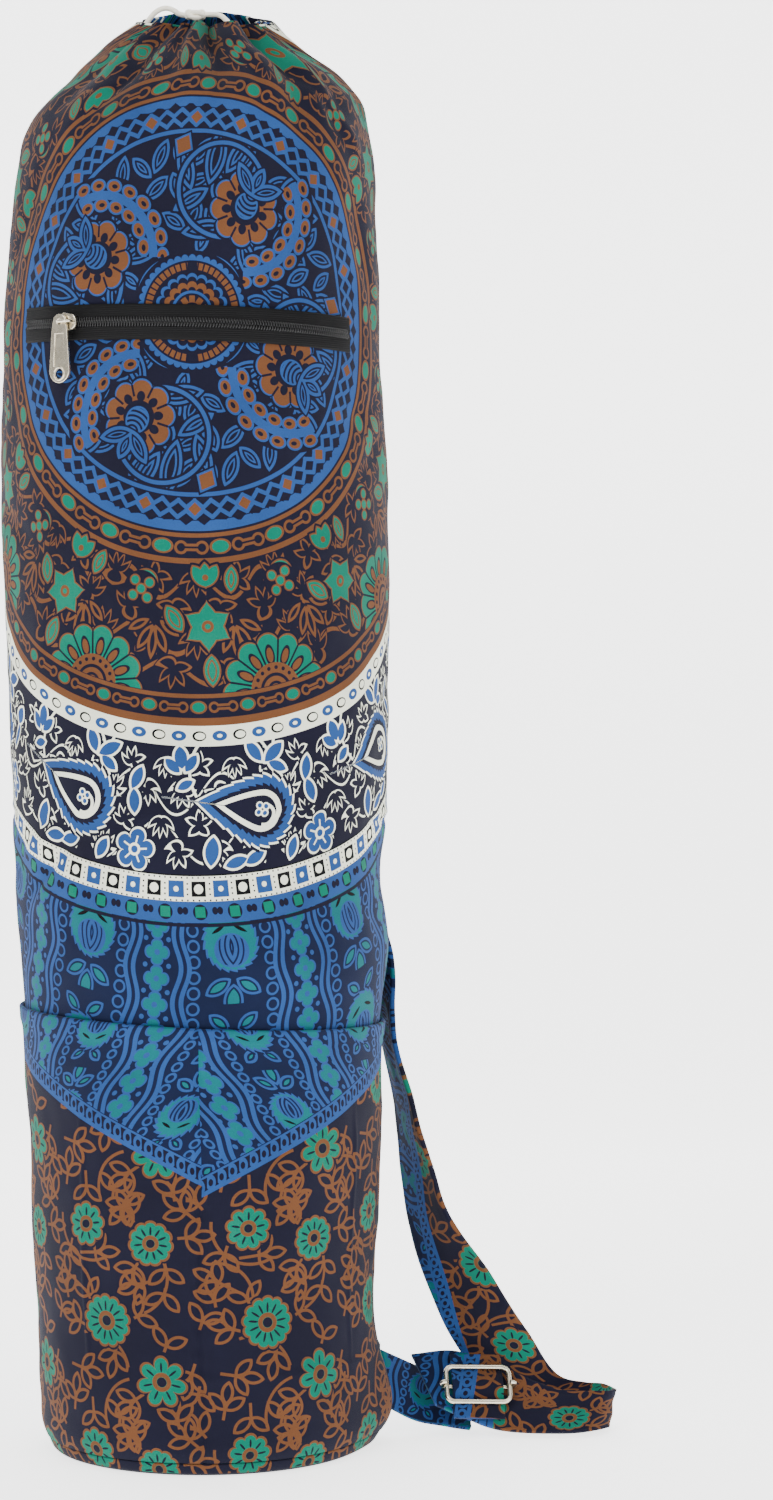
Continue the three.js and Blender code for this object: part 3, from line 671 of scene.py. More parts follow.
# Brown stems and thorny leaves that fill the field
def vines(cloth, r, a, where):
    cloth.lay("brown", (abs(r - ((a - radians(4)) * 24).sine() * 5.5 - 118) < 1) & where)
    cloth.lay("brown", (abs(r - (a * 24).sine() * 6 - 141) < 1.1) & where)
    cloth.lay("brown", (abs(r - ((a - radians(9)) * 24).sine() * 5 - 155) < 1) & where)
    for copies, radius, start, size in (
            (40, 115, 0, 7.8), (40, 128, 4.5, 8.2), (40, 141, 0, 8.6), (42, 154, 4, 8.6)):
        x, y = onRing(r, a, copies, radius, start)
        spike = ivy(x, y, size, (a * copies / 4).sine() * 2)
        cloth.layers(spike, ("navy", 1), ("brown", 0), ("navy", -1.5), where=where)
    x, y = onRing(r, a, 24, 139, 8)
    flame = leaves(abs(x), y, ((3.6, 2), 28, 13, 4.6), ((7, -3), 58, 11, 4))
    flame = flame.least(leaf(x, y, (0, 4), 0, 15, 4.4))
    cloth.layers(flame, ("navy", 0.9), ("brown", 0), ("navy", -1.2), where=where)


# The rings outside the field: cream ovals, the paisley band, the squares and the blossom columns
def borders(cloth, r, a):
    cloth.lay("brown", r < 177.6)
    cloth.lay("cream", abs(r - 182) < 4.4)
    step = 2 * pi / 126
    x, y = a.wrap(2 * step) * 182, r - 182
    other = (a - step).wrap(2 * step) * 182
    ring = hypotenuse(other / 3.1, y / 2.2)
    cloth.lay("black", ring < 1)
    cloth.lay("cream", hypotenuse((other + 0.3) / 2.3, y / 1.5) < 1)
    egg = hypotenuse(x / 3.3, y / 2.2)
    cloth.layers(egg, ("blue", 1), ("cream", 0.36))
    paisleys(cloth, r, a)
    squares(cloth, r, a)
    below = r > 253.4
    q = (a - radians(184.5)) * 275
    columns(cloth, q, r, 2 * pi * 275 / 25, below & (r > 262), True)
    cloth.lay("blue", (abs(r - 258) < 4.6))
    tile = (a * 258).wrap(2 * pi * 258 / 100)
    cloth.lay("navy", hypotenuse(abs(tile), r - 258) < 3.4)
    cloth.lay("teal", (abs(tile) | abs(r - 258)) < 2.3)
    beside = (a * 258 + pi * 258 / 100).wrap(2 * pi * 258 / 100)
    heart = hypotenuse(abs(beside) - 1.2, (r - 257.4) * 0.8) | (abs(beside) * 0.6 + (r - 259.2) * 0.8)
    cloth.lay("navy", heart < 1.35)
    cloth.lay("navy", abs(r - 263.6) < 0.8)


# An ivy leaf: five points round its own centre, turned by lean
def ivy(x, y, size, lean=0.0):
    br, ba = polar(x, y)
    return br - (size - (ba + lean).fold(2 * pi / 5) * (size * 0.9))


# Cream-lined leaves and flowers with a toothed paisley in each repeat
def paisleys(cloth, r, a):
    where = abs(r - 214.6) < 28.2
    cloth.lay("cream", (abs(r - (a * 32).sine() * 9 - 207) < 0.55) & where)
    cloth.lay("cream", (abs(r - (a * 32 + 2).sine() * 9 - 228) < 0.55) & where)
    for copies, radius, start, size in (
            (80, 194.5, 0, 6.4), (80, 207, 2.2, 6.8), (80, 220, 0, 7), (80, 233, 2.2, 7)):
        x, y = onRing(r, a, copies, radius, start)
        spike = ivy(x, y, size, (a * copies / 3).sine() * 2)
        cloth.layers(spike, ("navy", 0.9), ("cream", 0), ("navy", -1.2), where=where)
    x, y = onRing(r, a, 16, 214, 16)
    x, y = -1 * x, -1 * y
    blue = leaves(
        x, y, ((-30, 25), 0, 10, 6), ((3, 24), -32, 11, 5.2), ((12, 22.5), 52, 12, 5.4),
        ((13, 16.5), 118, 9, 4.6), ((-29.5, 13), 70, 8, 4), ((27.5, 14), 12, 11, 5), ((29, 4), 160, 11, 5.2), ((0, -22), 66, 10, 5),
        ((19, -20), 20, 10, 5), ((-20, -17), 10, 13, 6.6), ((-9, -23), 78, 11, 5))
    blue = blue.least(leaf(abs(x + 30), y, (4.2, 22), 42, 9, 4.6))
    stems = (abs(hypotenuse(x - 34, y - 22) - 22)).least(abs(hypotenuse(x + 8, y - 16) - 19))
    cloth.lay("navy", (blue < 2) & where)
    cloth.lay("cream", (stems < 0.6) & where & (y > 4))
    cloth.layers(blue, ("cream", 0.9), ("blue", -0.15), where=where)
    fr, fa = polar(x - 35, y + 16)
    petal = fr - scallop(fa, 5, 9.2, 4.2)
    cloth.layers(petal, ("navy", 1.8), ("cream", 0.8), where=where)
    cloth.lay("blue", petal < -0.2)
    cloth.lay("cream", abs(fr - 2.2) < 0.6)
    cloth.lay("cream", (abs(fa.fold(2 * pi / 5) * fr) < 0.4) & (fr < 6) & (fr > 2.2))
    # The paisley: a round end at the right drawn out to a tip at the left
    px, py = turned(x, y, (4, -2), 14)
    around = px.math("ARCTAN2", px, py)
    teeth = around.wrap(2 * pi / 22) * 5.4
    back = (px * -1).math("MAXIMUM", px * -1, 0)
    front = px.math("MAXIMUM", px, 0)
    for ink, size, tip, tooth in (
            ("navy", 17.6, 33, 1), ("cream", 16.3, 31.5, 1), ("blue", 15.3, 30, 1),
            ("navy", 11.6, 25, 0.9), ("cream", 9.2, 22, 0), ("navy", 6.7, 18, 0)):
        narrow = 1 - (back / tip).math("POWER", back / tip, 1.4)
        shape = hypotenuse(front, py / narrow.math("MAXIMUM", narrow, 0.02))
        cloth.lay(ink, (shape + teeth * tooth if tooth else shape) < size)
    cloth.lay("cream", (abs(hypotenuse(px - 1.5, py + 1.6) - 4.4) < 0.75) & (px > 1))
    petals = hypotenuse(abs(px) - 1.5, abs(py - 0.6) - 1.5)
    cloth.layers(petals, ("cream", 1.7), ("blue", 1))


def squares(cloth, r, a):
    cloth.lay("cream", (r > 242.4) & (r < 254))
    step = 2 * pi / 150
    x = a.wrap(2 * step) * 248
    beside = (a - step).wrap(2 * step) * 248
    y = r - 248
    cloth.lay("black", (abs(beside) | abs(y)) < 3.3)
    cloth.lay("cream", hypotenuse(beside, y) < 2.1)
    cloth.lay("blue", (abs(x) | abs(y)) < 3.6)
    cloth.lay("cream", hypotenuse(x, y) < 1.2)
    specks = hypotenuse((a * 248).wrap(2 * step * 248 / 8), abs(y) - 4.9)
    cloth.lay("black", specks < 0.42)
    middle = hypotenuse((a * 248 + step * 124).wrap(step * 248), y.wrap(2.3))
    cloth.lay("black", (middle < 0.42) & (abs(y) < 3))
    cloth.lay("black", abs(r - 242) < 0.3)


# Columns between wavy double stripes: stacked small flowers, and toothed pomegranates over loops and drops
def columns(cloth, q, t, period, where, large):
    cloth.lay("deep", where)
    q = q.wrap(period)
    side = abs(q)
    sway = (t * (2 * pi / 29)).sine() * 1.6
    stripe = abs(side - period * 0.165 + sway)
    cloth.lay("blue", (abs(stripe - 1.9) < 1.05) & where)
    step = 11.5
    fr, fa = polar(q, t.wrap(step))
    petal = fr - scallop(fa, 4, 5.3, 2.4)
    cloth.layers(petal, ("blue", 0.7), ("sea", -0.2), where=where)
    cloth.lay("blue", (fr < 1.3) & where)
    cloth.lay("blue", (hypotenuse(side - 5.4, (t + step / 2).wrap(step)) < 1.1) & where)
    # The wider column at the edge of the repeat
    x = (q + period / 2).wrap(period)
    wide = abs(x)
    high = 52 if large else 38
    size = 12.4 if large else 8.8
    y = (t + (-12 if large else -6)).wrap(high)
    loops = abs(hypotenuse(wide - size * 1.42, t.wrap(size * 0.55)) - size * 0.2)
    cloth.lay("blue", (loops < 0.5) & where)
    blades = leaf(wide, y, (size * 0.55, size * 1.5), 58, size * 0.95, size * 0.46)
    blades = blades.least(leaf(x, y, (0, size * 2.0), 0, size * 1.1, size * 0.62))
    blades = blades.least(leaf(wide, y, (size * 0.5, -size * 1.45), 128, size * 0.8, size * 0.4))
    cloth.layers(blades, ("blue", 0.6), ("deep", -0.5), ("sea", -1.3), where=where)
    br, ba = polar(x, y)
    teeth = ba.wrap(2 * pi / 20) * 4
    drop = br + teeth + y * 0.1
    cloth.lay("deep", (drop < size + 1.6) & where)
    cloth.lay("blue", (drop < size + 0.7) & where)
    cloth.lay("sea", (drop < size - 0.4) & where)
    dome = hypotenuse(x, (y - size * 0.22) * 1.1)
    cloth.lay("blue", (dome < size * 0.66) & where)
    ribs = hypotenuse(wide + size * 0.55, y - size * 0.1).wrap(size * 0.2)
    cloth.lay("deep", (abs(ribs) < 0.42) & (dome < size * 0.6) & where)
    cloth.lay("black", (leaf(wide, y, (size * 0.42, -size * 0.52), 62, size * 0.62, size * 0.13) < 0) & where)


# A sprig from a point on a stem: a pair of leaves and, unless it is bare, one at the tip
def sprig(x, y, at, angle, stem, tip=True):
    u, v = turned(x, y, at, angle)
    u = abs(u)
    long, wide = 9.4, 4.5
    curve = (long**2 + wide**2) / (4 * wide)
    blade = leaf(u, v, (3.9, stem + 2.2), 52, long, wide)
    if tip:
        blade = blade.least(hypotenuse(u + (curve - wide / 2), v - (stem + 6.6)) - curve)
    stalk = u | (abs(v - stem / 2) - stem / 2)
    return abs(blade).least(stalk)


# A length of stem along part of a circle
def stem(x, y, centre, radius, middle, half):
    r, a = polar(x - centre[0], y - centre[1])
    return abs(r - radius) | ((abs((a - radians(middle)).wrap(2 * pi)) - radians(half)) * radius)


trailingRepeat = (73.5, 101)
# Flowers of the trailing print: place, petals, radius, depth of its scallops
trailingFlowers = [
    ((0, 0), 9, 9.2, 2.2), ((31.6, -6.7), 11, 9.3, 1.4),
    ((9.6, -42.4), 13, 11.2, 1.7), ((35, -68), 7, 10.8, 5.2),
]
# Sprigs in groups about a middle: place, direction, stem and whether it has a leaf at its tip
trailingSprigs = [
    ((-12, 0), [((-21, 3), -52, 8, True), ((-9, -8), 196, 4, False), ((-3, -13), 84, 9, True),
                ((-4, -28), -62, 10, True), ((1, -33), -20, 2, False)]),
    ((31, 2), [((22, 12), -140, 3, True), ((42, 13), -10, 4, True), ((27, -14), 214, 5, True),
               ((38, -16), 176, 3, False), ((38, -27), 192, 3, False), ((44, -4), 84, 4, True)]),
    ((12, -48), [((24, -40), 60, 2, False), ((-1, -46), -74, 6, True), ((14, -53), 196, 4, True),
                 ((37, -54), 20, 3, False)]),
    ((10, -80), [((-12, -64), 100, 7, True), ((0, -78), 178, 7, False), ((26, -74), 236, 5, True),
                 ((16, -88), 120, 5, False), ((-20, -92), -40, 3, True), ((-22, -70), 190, 4, False)]),
    ((48, -48), [((50, -60), 200, 5, True), ((53, -44), 20, 4, False), ((60, -34), -12, 3, True),
                 ((30, -24), 250, 3, True)]),
    ((0, -100), [((-12, -84), 10, 5, True), ((14, -88), 10, 4, False), ((38, -88), 60, 4, True),
                 ((24, -98), -30, 4, True), ((48, -96), 190, 4, False)]),
]
# Stems: circle's middle and radius, then the middle and half of the turn it takes
trailingStems = [
    ((2, 2), 18, 214, 58), ((-14, -32), 17, 42, 44), ((22, -22), 17, 110, 46),
    ((2, -66), 18, 30, 46), ((24, -84), 17, -60, 44),
]


# The trailing flowers of the pocket and strap, origin at one of the smaller ones
def trailing(cloth, x, y):
    wide, high = trailingRepeat
    lines = None
    for (cx, cy), sprigs in trailingSprigs:
        gx, gy = (x - cx).wrap(wide), (y - cy).wrap(high)
        for at, angle, length, tip in sprigs:
            made = sprig(gx, gy, (at[0] - cx, at[1] - cy), angle, length, tip)
            lines = lines.least(made) if lines else made
    for centre, radius, middle, half in trailingStems:
        gx, gy = (x - centre[0]).wrap(wide), (y - centre[1]).wrap(high)
        lines = lines.least(stem(gx, gy, (0, 0), radius, middle, half))
    cloth.lay("brown", lines < 0.68)
    for at, petals, size, dip in trailingFlowers:
        fr, fa = polar((x - at[0]).wrap(wide), (y - at[1]).wrap(high))
        edge = fr - scallop(fa, petals, size, dip)
        cloth.layers(edge, ("navy", 2), ("brown", 1.05), ("teal", -0.1))
        spoke = fa.wrap(2 * pi / petals) * fr
        cloth.lay("navy", (hypotenuse(spoke / 0.5, (fr - size * 0.6) / (size * 0.2)) < 1))
        cloth.lay("brown", abs(fr - size * 0.3) < size * 0.09)
        cloth.lay("navy", fr < size * 0.2)


# The pocket: trailing flowers below a chevron cut from the cloth's bordered end
def pocketPrint(u, v):
    cloth = Print("navy")
    trailing(cloth, u - 18.5, v - 110.5)
    right = u > -1.5
    side = abs(u + 1.5)
    rise = v - side * 0.55 + (side * side) * 0.00085 + right * 5 - 129.5
    up = rise * 0.876
    cloth.lay("navy", up > 0)
    inside = up > 8
    q = side + (v - 170) * 0.55 + right * 24 - 31
    columns(cloth, q, v - 3, 56, inside, False)
    cloth.lay("blue", abs(up - 0.9) < 0.9)
    loops = (side * 1.14).wrap(5.2)
    cloth.lay("blue", abs(hypotenuse(loops + up * 0.2, (up - 4) * 0.75) - 1.7) < 0.62)
    cloth.lay("blue", abs(up - 7.2) < 0.45)
    return cloth


# The strap: the same trailing print, with the bordered end at its top and at the buckle
def strapPrint(u, v):
    cloth = Print("navy")
    trailing(cloth, u - 8, v + 14)
    edge = (v - 445) * 0.21 + u - 17
    ends = edge * -1 | (v - 722)
    blue = ends > 0
    cloth.lay("navy", blue)
    columns(cloth, v - u * 0.4, u + 3, 56, ends > 7, False)
    cloth.lay("blue", abs(ends - 1) < 1)
    cloth.lay("blue", abs(hypotenuse(v.wrap(5.2), ends - 4.2) - 1.8) < 0.7)
    cloth.lay("blue", abs(ends - 7) < 0.7)
    return cloth


# An empty material, and the Socket that its nodes are made from
def newMaterial(name):
    material = bpy.data.materials.new(name)
    material.use_nodes = True
    material.node_tree.nodes.clear()
    return material, Socket(material.node_tree)


# The shader over a bump of some strength and distance, as the material's output
def finished(material, start, strength, distance, height, inputs):
    bump = start.node("Bump", (), {"Strength": strength, "Distance": distance, "Height": height})
    surface = start.node("BsdfPrincipled", (), {**inputs, "Normal": start.of(bump)})
    start.node("OutputMaterial", (), {0: start.of(surface)})
    return material


weavePitch = 0.62  # millimetres


# Cloth: weave bump, faded and worn colour, and a soft sheen
def clothMaterial(name, draw):
    material, start = newMaterial(name)
    place = start.of(start.node("UVMap", {"uv_map": "cloth"}))
    parts = start.node("SeparateXYZ", (), {0: place})
    u, v = start.of(parts, 0) * 1000, start.of(parts, 1) * 1000
    cloth = draw(u, v)
    thread = start.noise(place, 1500, 1)
    patch = start.noise(place, 26, 3)
    fade = thread * 0.25 + patch * 0.5 + 0.45
    shade = start.node("Mix", {"data_type": "RGBA", "blend_type": "MULTIPLY"},
                       {0: 1.0, 6: cloth.colour, 7: start.of(start.node("CombineXYZ", (), {0: fade, 1: fade, 2: fade}))})
    weave = (u * (2 * pi / weavePitch)).sine() * (v * (2 * pi / weavePitch)).sine()
    return finished(material, start, 0.35, 0.00012, weave + thread * 0.6, {
        "Base Color": start.of(shade, 2), "Roughness": 0.92, "Sheen Weight": 0.03,
        "Sheen Roughness": 0.5, "Specular IOR Level": 0.12,
    })


# One region of the body's print, in rings about the medallion
def bodyPrint(draw):
    def build(u, v):
        cloth = Print("navy")
        r, a = polar(u - printCentre[0], (v - printCentre[1]) * 0.988)
        draw(cloth, r, a)
        return cloth
    return build


# A finished piece: what it rides on, replaces, and takes its finish from
def placed(piece, body, replaces=(), material=None):
    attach(piece, body)
    if replaces:
        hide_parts(*replaces)
    if material:
        piece.data.materials.clear()
        piece.data.materials.append(material)
    return piece


def clothPlaces(turn, height):
    return np.stack([np.radians(turnBetween(turn, 0)) * bag["radius"], height], -1)


# Low waves of slack cloth
def waves(points, size, depth):
    flat = points.reshape(-1, 3)
    out = [noise.noise(Vector(p) / size) * depth for p in flat.tolist()]
    return np.array(out).reshape(points.shape[:-1])


def bagBody():
    turn = np.arange(bag["columns"]) * 360 / bag["columns"] - 180
    foot = bodyRows[0][0] * bag["height"]
    steps = np.linspace(0, 1, bag["rows"])
    heights = foot + (bag["height"] - foot) * (steps * 0.72 + 0.28 * (1 - (1 - steps) ** 2.2))
    turns, rows = np.meshgrid(turn, heights)
    base = onBag(turns, rows)
    fade = smooth((rows - 0.21) / 0.03)
    points = onBag(turns, rows, waves(base, 0.034, 0.0016) * fade + waves(base, 0.013, 0.0005) * fade)
    cloth = clothPlaces(turns, rows)
    outer = gridPiece("bag_cloth", points, cloth, closed=2 * pi * bag["radius"])
    # The hem's rolled lip and the lining side, down into the mouth
    lip = []
    for k in range(7):
        angle = pi * k / 6
        off = bag["wall"] / 2 * (cos(angle) - 1)
        lip.append((off, 0.5 * bag["wall"] * sin(angle)))
    inside = np.linspace(bag["height"], bag["height"] - 0.11, 40)[1:]
    offs = np.array([o for o, _ in lip] + [-bag["wall"]] * len(inside))
    highs = np.array([bag["height"]] * len(lip) + list(inside))
    turns2, highs2 = np.meshgrid(turn, highs)
    points2 = onBag(turns2, highs2, offs[:, None])
    points2[: len(lip), :, 2] += np.array([u for _, u in lip])[:, None]
    points2[0] = points[-1]
    cloth2 = clothPlaces(turns2, highs2 + 0.02)
    inner = gridPiece("lining", points2, cloth2, closed=2 * pi * bag["radius"])
    body = joined("bag_cloth", [outer, inner])
    mesh = body.data
    for name in ("medallion", "field", "borders"):
        mesh.materials.append(materials[name])
    corner = np.zeros(len(mesh.loops) * 2, np.float32)
    mesh.uv_layers[0].data.foreach_get("uv", corner)
    middle = corner.reshape(-1, 4, 2).mean(1) * 1000
    far = np.hypot(middle[:, 0] - printCentre[0], middle[:, 1] - printCentre[1])
    kind = np.searchsorted(printRegions, far, side="right")
    mesh.polygons.foreach_set("material_index", kind.astype(np.int32))
    placed(body, "bag", ["bag_body"])
    return weld(body)


def topHem(turn):
    return pocket["height"] - pocket["tilt"] * np.sin(np.radians(turn))


def frontPocket():
    turn = np.linspace(-pocket["span"], pocket["span"], pocket["columns"])
    foot = bag["rimHeight"] + bag["clearance"]
    v = np.linspace(0, 1, pocket["rows"])
    turns, steps = np.meshgrid(turn, v)
    top = topHem(turns)
    rows = foot + (top - foot) * steps
    down = top - rows
    # Doubled hem with its stitched edge, then pressed creases, the middle seam and slack
    doubled = smooth(1 - (down - pocket["hemHeight"]) / 0.0012)
    thick = pocket["cloth"] + (pocket["hemCloth"] - pocket["cloth"]) * doubled
    thick = thick - 0.0006 * bell((down - pocket["hemHeight"] + 0.0012) / 0.0006)
    across = np.radians(turns) * lowRadius
    for at, depth in ((-42.4, 0.0006), (56.2, 0.0006)):
        low = smooth((0.165 - rows) / 0.02) * smooth((rows - 0.04) / 0.02)
        thick = thick + depth * bell((across - radians(at) * lowRadius) / 0.0011) * low
    seam = across + 0.002
    thick = thick - 0.0008 * bell(seam / 0.0008) + 0.0004 * bell((abs(seam) - 0.003) / 0.0016)
    thick = thick + 0.0003 * np.sin(rows / 0.0016) * bell(seam / 0.004)
    thick = thick + 0.0006 * bell((rows - 0.044) / 0.0012) * smooth((across + 0.03) / 0.02)
    puff = smooth(down / 0.05) * smooth((rows - foot) / 0.03)
    base = onBag(turns, rows, bag["clearance"], 0)
    thick = thick + puff * (0.0008 + waves(base, 0.04, 0.0012)) + waves(base, 0.012, 0.0004) * puff
    points = onBag(turns, rows, bag["clearance"] + thick, 0)
    cloth = np.stack([across, rows], -1)
    outer = gridPiece("pocket_cloth", points, cloth)
    # Over the top edge and down behind the hem
    lip = [(cos(t), sin(t)) for t in np.linspace(0, pi, 7)]
    half = pocket["hemCloth"] / 2
    offs = np.array([half + half * c for c, _ in lip] + [0.0] * 8)
    ups = np.array([half * s * 0.8 for _, s in lip] + list(-np.linspace(0.002, 0.03, 8)))
    turns2, offs2 = np.meshgrid(turn, offs)
    rows2 = topHem(turns2) + ups[:, None]
    points2 = onBag(turns2, np.minimum(rows2, topHem(turns2)), bag["clearance"] + offs2, 0)
    points2[: len(lip), :, 2] += ups[: len(lip), None]
    cloth2 = np.stack([np.radians(turns2) * lowRadius, rows2], -1)
    inner = gridPiece("pocket_back", points2, cloth2)
    made = weld(joined("pocket_cloth", [outer, inner]))
    return placed(made, "bag", ["front_pocket"], materials["pocket"])


def basePanel():
    turn = np.arange(200) * 360 / 200 - 180
    outer = bag["clearance"] + bag["baseRim"]
    high = bag["rimHeight"]
    profile = [(-0.060, 0.0006), (-0.03, 0.0003), (-0.006, 0), (outer - 0.0014, 0.0003),
               (outer - 0.0004, 0.0012), (outer, 0.5 * high), (outer - 0.0002, 0.85 * high),
               (outer - 0.0006, high), (bag["clearance"], high - 0.0003)]
    offs = np.array([o for o, _ in profile])
    ups = np.array([u for _, u in profile])
    turns, offs2 = np.meshgrid(turn, offs)
    low = bodyRows[0][0] * bag["height"]
    rows = np.maximum(ups, low)[:, None] + 0 * turns
    points = onBag(turns, rows, offs2, 0)
    points[..., 2] = ups[:, None]
    cloth = np.stack([np.radians(turns) * lowRadius, ups[:, None] + 0 * turns], -1)
    piece = gridPiece("base_binding", points, cloth, closed=2 * pi * lowRadius)
    # Binding below, the pocket's own cloth above it
    placed(piece, "bag", ["base_panel"], materials["binding"])
    piece.data.materials.append(materials["pocket"])
    printed = np.repeat(np.arange(len(profile) - 1) > 3, len(turn))
    piece.data.polygons.foreach_set("material_index", printed.astype(np.int32))
    return piece


def zipLine(turn):
    return zipper["height"] - zipper["drop"] * (turn - (zipper["left"] + zipper["right"]) / 2) / (
        zipper["right"] - zipper["left"])


def zipTape():
    turn = np.linspace(zipper["left"], zipper["right"], 240)
    half = zipper["tapeHeight"] / 2
    # Across the tape: turned edge, flat tape, the fold beside the coil and back
    profile = [(-half, 0.0001), (-half, 0.0007), (-half + 0.0006, 0.0011), (-0.005, 0.0010), (-0.0026, 0.0013),
               (-0.0014, 0.0014), (-0.0004, 0.0008), (0.0004, 0.0008), (0.0014, 0.0014), (0.0026, 0.0013),
               (0.005, 0.0010), (half - 0.0006, 0.0011), (half, 0.0007), (half, 0.0001)]
    ups = np.array([p[0] for p in profile])
    offs = np.array([p[1] for p in profile])
    turns, ups2 = np.meshgrid(turn, ups)
    _, offs2 = np.meshgrid(turn, offs)
    ripple = 0.00012 * np.sin(np.radians(turns) * bag["radius"] / 0.004)
    points = onBag(turns, zipLine(turns) + ups2, offs2 + bag["clearance"] + ripple, 1)
    cloth = np.stack([np.radians(turns) * bag["radius"], ups2], -1)
    piece = gridPiece("zip_cloth", points, cloth)
    return placed(piece, "bag", ["zip_tape"], materials["tape"])


# Nylon coil: two rows of loops, one on each tape
def zipCoil():
    count = int(radians(zipper["right"] - zipper["left"]) * bag["radius"] / zipper["pitch"])
    rings = 10
    t = np.arange(count * rings) / rings
    turn = zipper["left"] + 1.5 + (zipper["right"] - zipper["left"] - 3) * t / count
    tubes = []
    for side in (-1, 1):
        angle = t * 2 * pi + (0 if side > 0 else pi)
        up = side * (0.00095 + 0.00095 * np.cos(angle))
        off = zipper["tapeCloth"] + bag["clearance"] + 0.0007 + 0.0005 * np.sin(angle)
        points = onBag(turn, zipLine(turn) + up, off)
        tubes.append(tube("zip_teeth", points, 0.00026, sides=1, cubic=False))
    for piece in tubes:
        piece.data.resolution_u = 1
    made = [asMesh(piece) for piece in tubes]
    return placed(joined("zip_teeth", made), "bag", ["zip_coil"], materials["coil"])


def sliderFrame():
    seat = onBag(slider["turn"], zipLine(slider["turn"]), 0, 0)
    return Matrix.Translation(Vector(seat)) @ Matrix.Rotation(radians(slider["turn"]), 4, "Z")


tapeFace = bag["clearance"] + zipper["tapeCloth"]
coilFace = tapeFace + bag["clearance"] + zipper["coilDepth"]
plateBack = coilFace + bag["clearance"]
plateFace = plateBack + slider["plate"]


# A flat plate with rounded edges from outlines in its own plane, holes included, front towards -Y
def plate(name, outlines, thick, edge, matrix):
    data = bpy.data.curves.new(name, "CURVE")
    data.dimensions = "2D"
    data.fill_mode = "BOTH"
    data.extrude = thick / 2 - edge
    data.bevel_depth = edge
    data.bevel_resolution = 3
    data.offset = -edge
    for outline in outlines:
        spline = data.splines.new("POLY")
        spline.points.add(len(outline) - 1)
        for knot, place in zip(spline.points, outline):
            knot.co = (*place, 0, 1)
        spline.use_cyclic_u = True
    return asMesh(linked(name, data), matrix)


def arc(centre, radius, start, end, steps=24):
    angles = np.radians(np.linspace(start, end, steps))
    return [(centre[0] + radius * cos(t), centre[1] + radius * sin(t)) for t in angles]


def facing(matrix, back):
    return matrix @ Matrix.Translation((0, -back, 0)) @ Matrix.Rotation(radians(90), 4, "X")


def zipSlider():
    matrix = sliderFrame()
    halfLong, halfHigh = slider["length"] / 2, slider["height"] / 2
    outline = (arc((-halfLong + 0.0018, 0), 0.0018, 140, 220, 8)
               + arc((-halfLong + 0.0026, -halfHigh + 0.0016), 0.0016, 200, 270, 8)
               + arc((halfLong - 0.0032, -halfHigh * 0.8 + 0.0026), 0.0026, 275, 350, 10)
               + arc((halfLong - 0.0032, halfHigh * 0.8 - 0.0026), 0.0026, 10, 85, 10)
               + arc((-halfLong + 0.0026, halfHigh - 0.0016), 0.0016, 90, 160, 8))
    body = plate("slider_plate", [outline], slider["plate"], 0.0004,
                 facing(matrix, plateBack + slider["plate"] / 2))
    parts = [body]
    for side in (-1, 1):
        rail = [(-0.003, side * 0.0037), (0.0026, side * 0.0031), (0.0026, side * 0.0025), (-0.003, side * 0.0030)]
        rail = rail if side < 0 else rail[::-1]
        parts.append(plate("slider_rail", [rail], 0.0021, 0.0001, facing(matrix, plateBack - 0.0002)))
    leg, bend = slider["bailSpan"] / 2, 0.3 * slider["bailSpan"]
    foot, bow = -plateFace + 0.0004, -plateFace - slider["bailReach"]
    path = [(-leg, foot, 0), (-leg, bow + bend, 0)]
    path += [(x, y, 0) for x, y in arc((-leg + bend, bow + bend), bend, 190, 262, 7)]
    path += [(x, y, 0) for x, y in arc((leg - bend, bow + bend), bend, 278, 350, 7)]
    path += [(leg, bow + bend, 0), (leg, foot, 0)]
    bail = tube("slider_bail", path, slider["bailWire"] / 2, sides=4, cubic=False)
    parts.append(asMesh(bail, matrix))
    for x in (-leg, leg):
        boss = tube("slider_boss", [(x, -plateFace - slider["boss"], 0), (x, -plateFace + 0.0004, 0)],
                    slider["boss"], sides=4, cubic=False)
        parts.append(asMesh(boss, matrix))
    return placed(joined("slider_metal", parts), "bag", ["zip_slider"], materials["metal"])


def zipPull():
    matrix = sliderFrame() @ Matrix.Translation((-slider["bailSpan"] / 2, 0, 0))
    back = plateFace + 2 * bag["clearance"]
    top = slider["eye"] + slider["eyeWall"]
    foot = top - slider["pullLength"]
    halfWide = slider["pullWidth"] / 2
    outer = (arc((0, 0), top, 15, 165, 26)
             + [(-slider["pullTop"] / 2, -0.0032)]
             + arc((0, foot + halfWide * 0.98), halfWide, 180, 360, 40)
             + [(slider["pullTop"] / 2, -0.0032)])
    holeAt = foot + slider["pullWidth"] * 0.36
    eye = arc((0, 0), slider["eye"], 360, 0, 25)[:-1]
    hole = arc((0, holeAt), slider["hole"] * 1.25, 360, 0, 25)[:-1]
    thick = slider["pullThickness"]
    flat = plate("pull_plate", [outer, eye, hole], thick * 0.72, 0.0003, facing(matrix, back + thick * 0.36))
    window = [(-0.0023, -0.0052), (-0.0030, holeAt + 0.0034), (0.0030, holeAt + 0.0034), (0.0023, -0.0052)]
    rim = plate("pull_rim", [outer, window, eye, hole], thick * 0.62, 0.00028,
                facing(matrix, back + thick * 0.69))
    lipRing = arc((0, holeAt), slider["hole"] * 1.25 + 0.0006, 0, 345, 24)
    collar = tube("pull_collar", [(x, y, 0) for x, y in lipRing], 0.0005, closed=True, sides=3, cubic=False)
    parts = [flat, rim, asMesh(collar, facing(matrix, back + thick))]
    return placed(joined("pull_metal", parts), "pull", ["zip_pull"], materials["metal"])


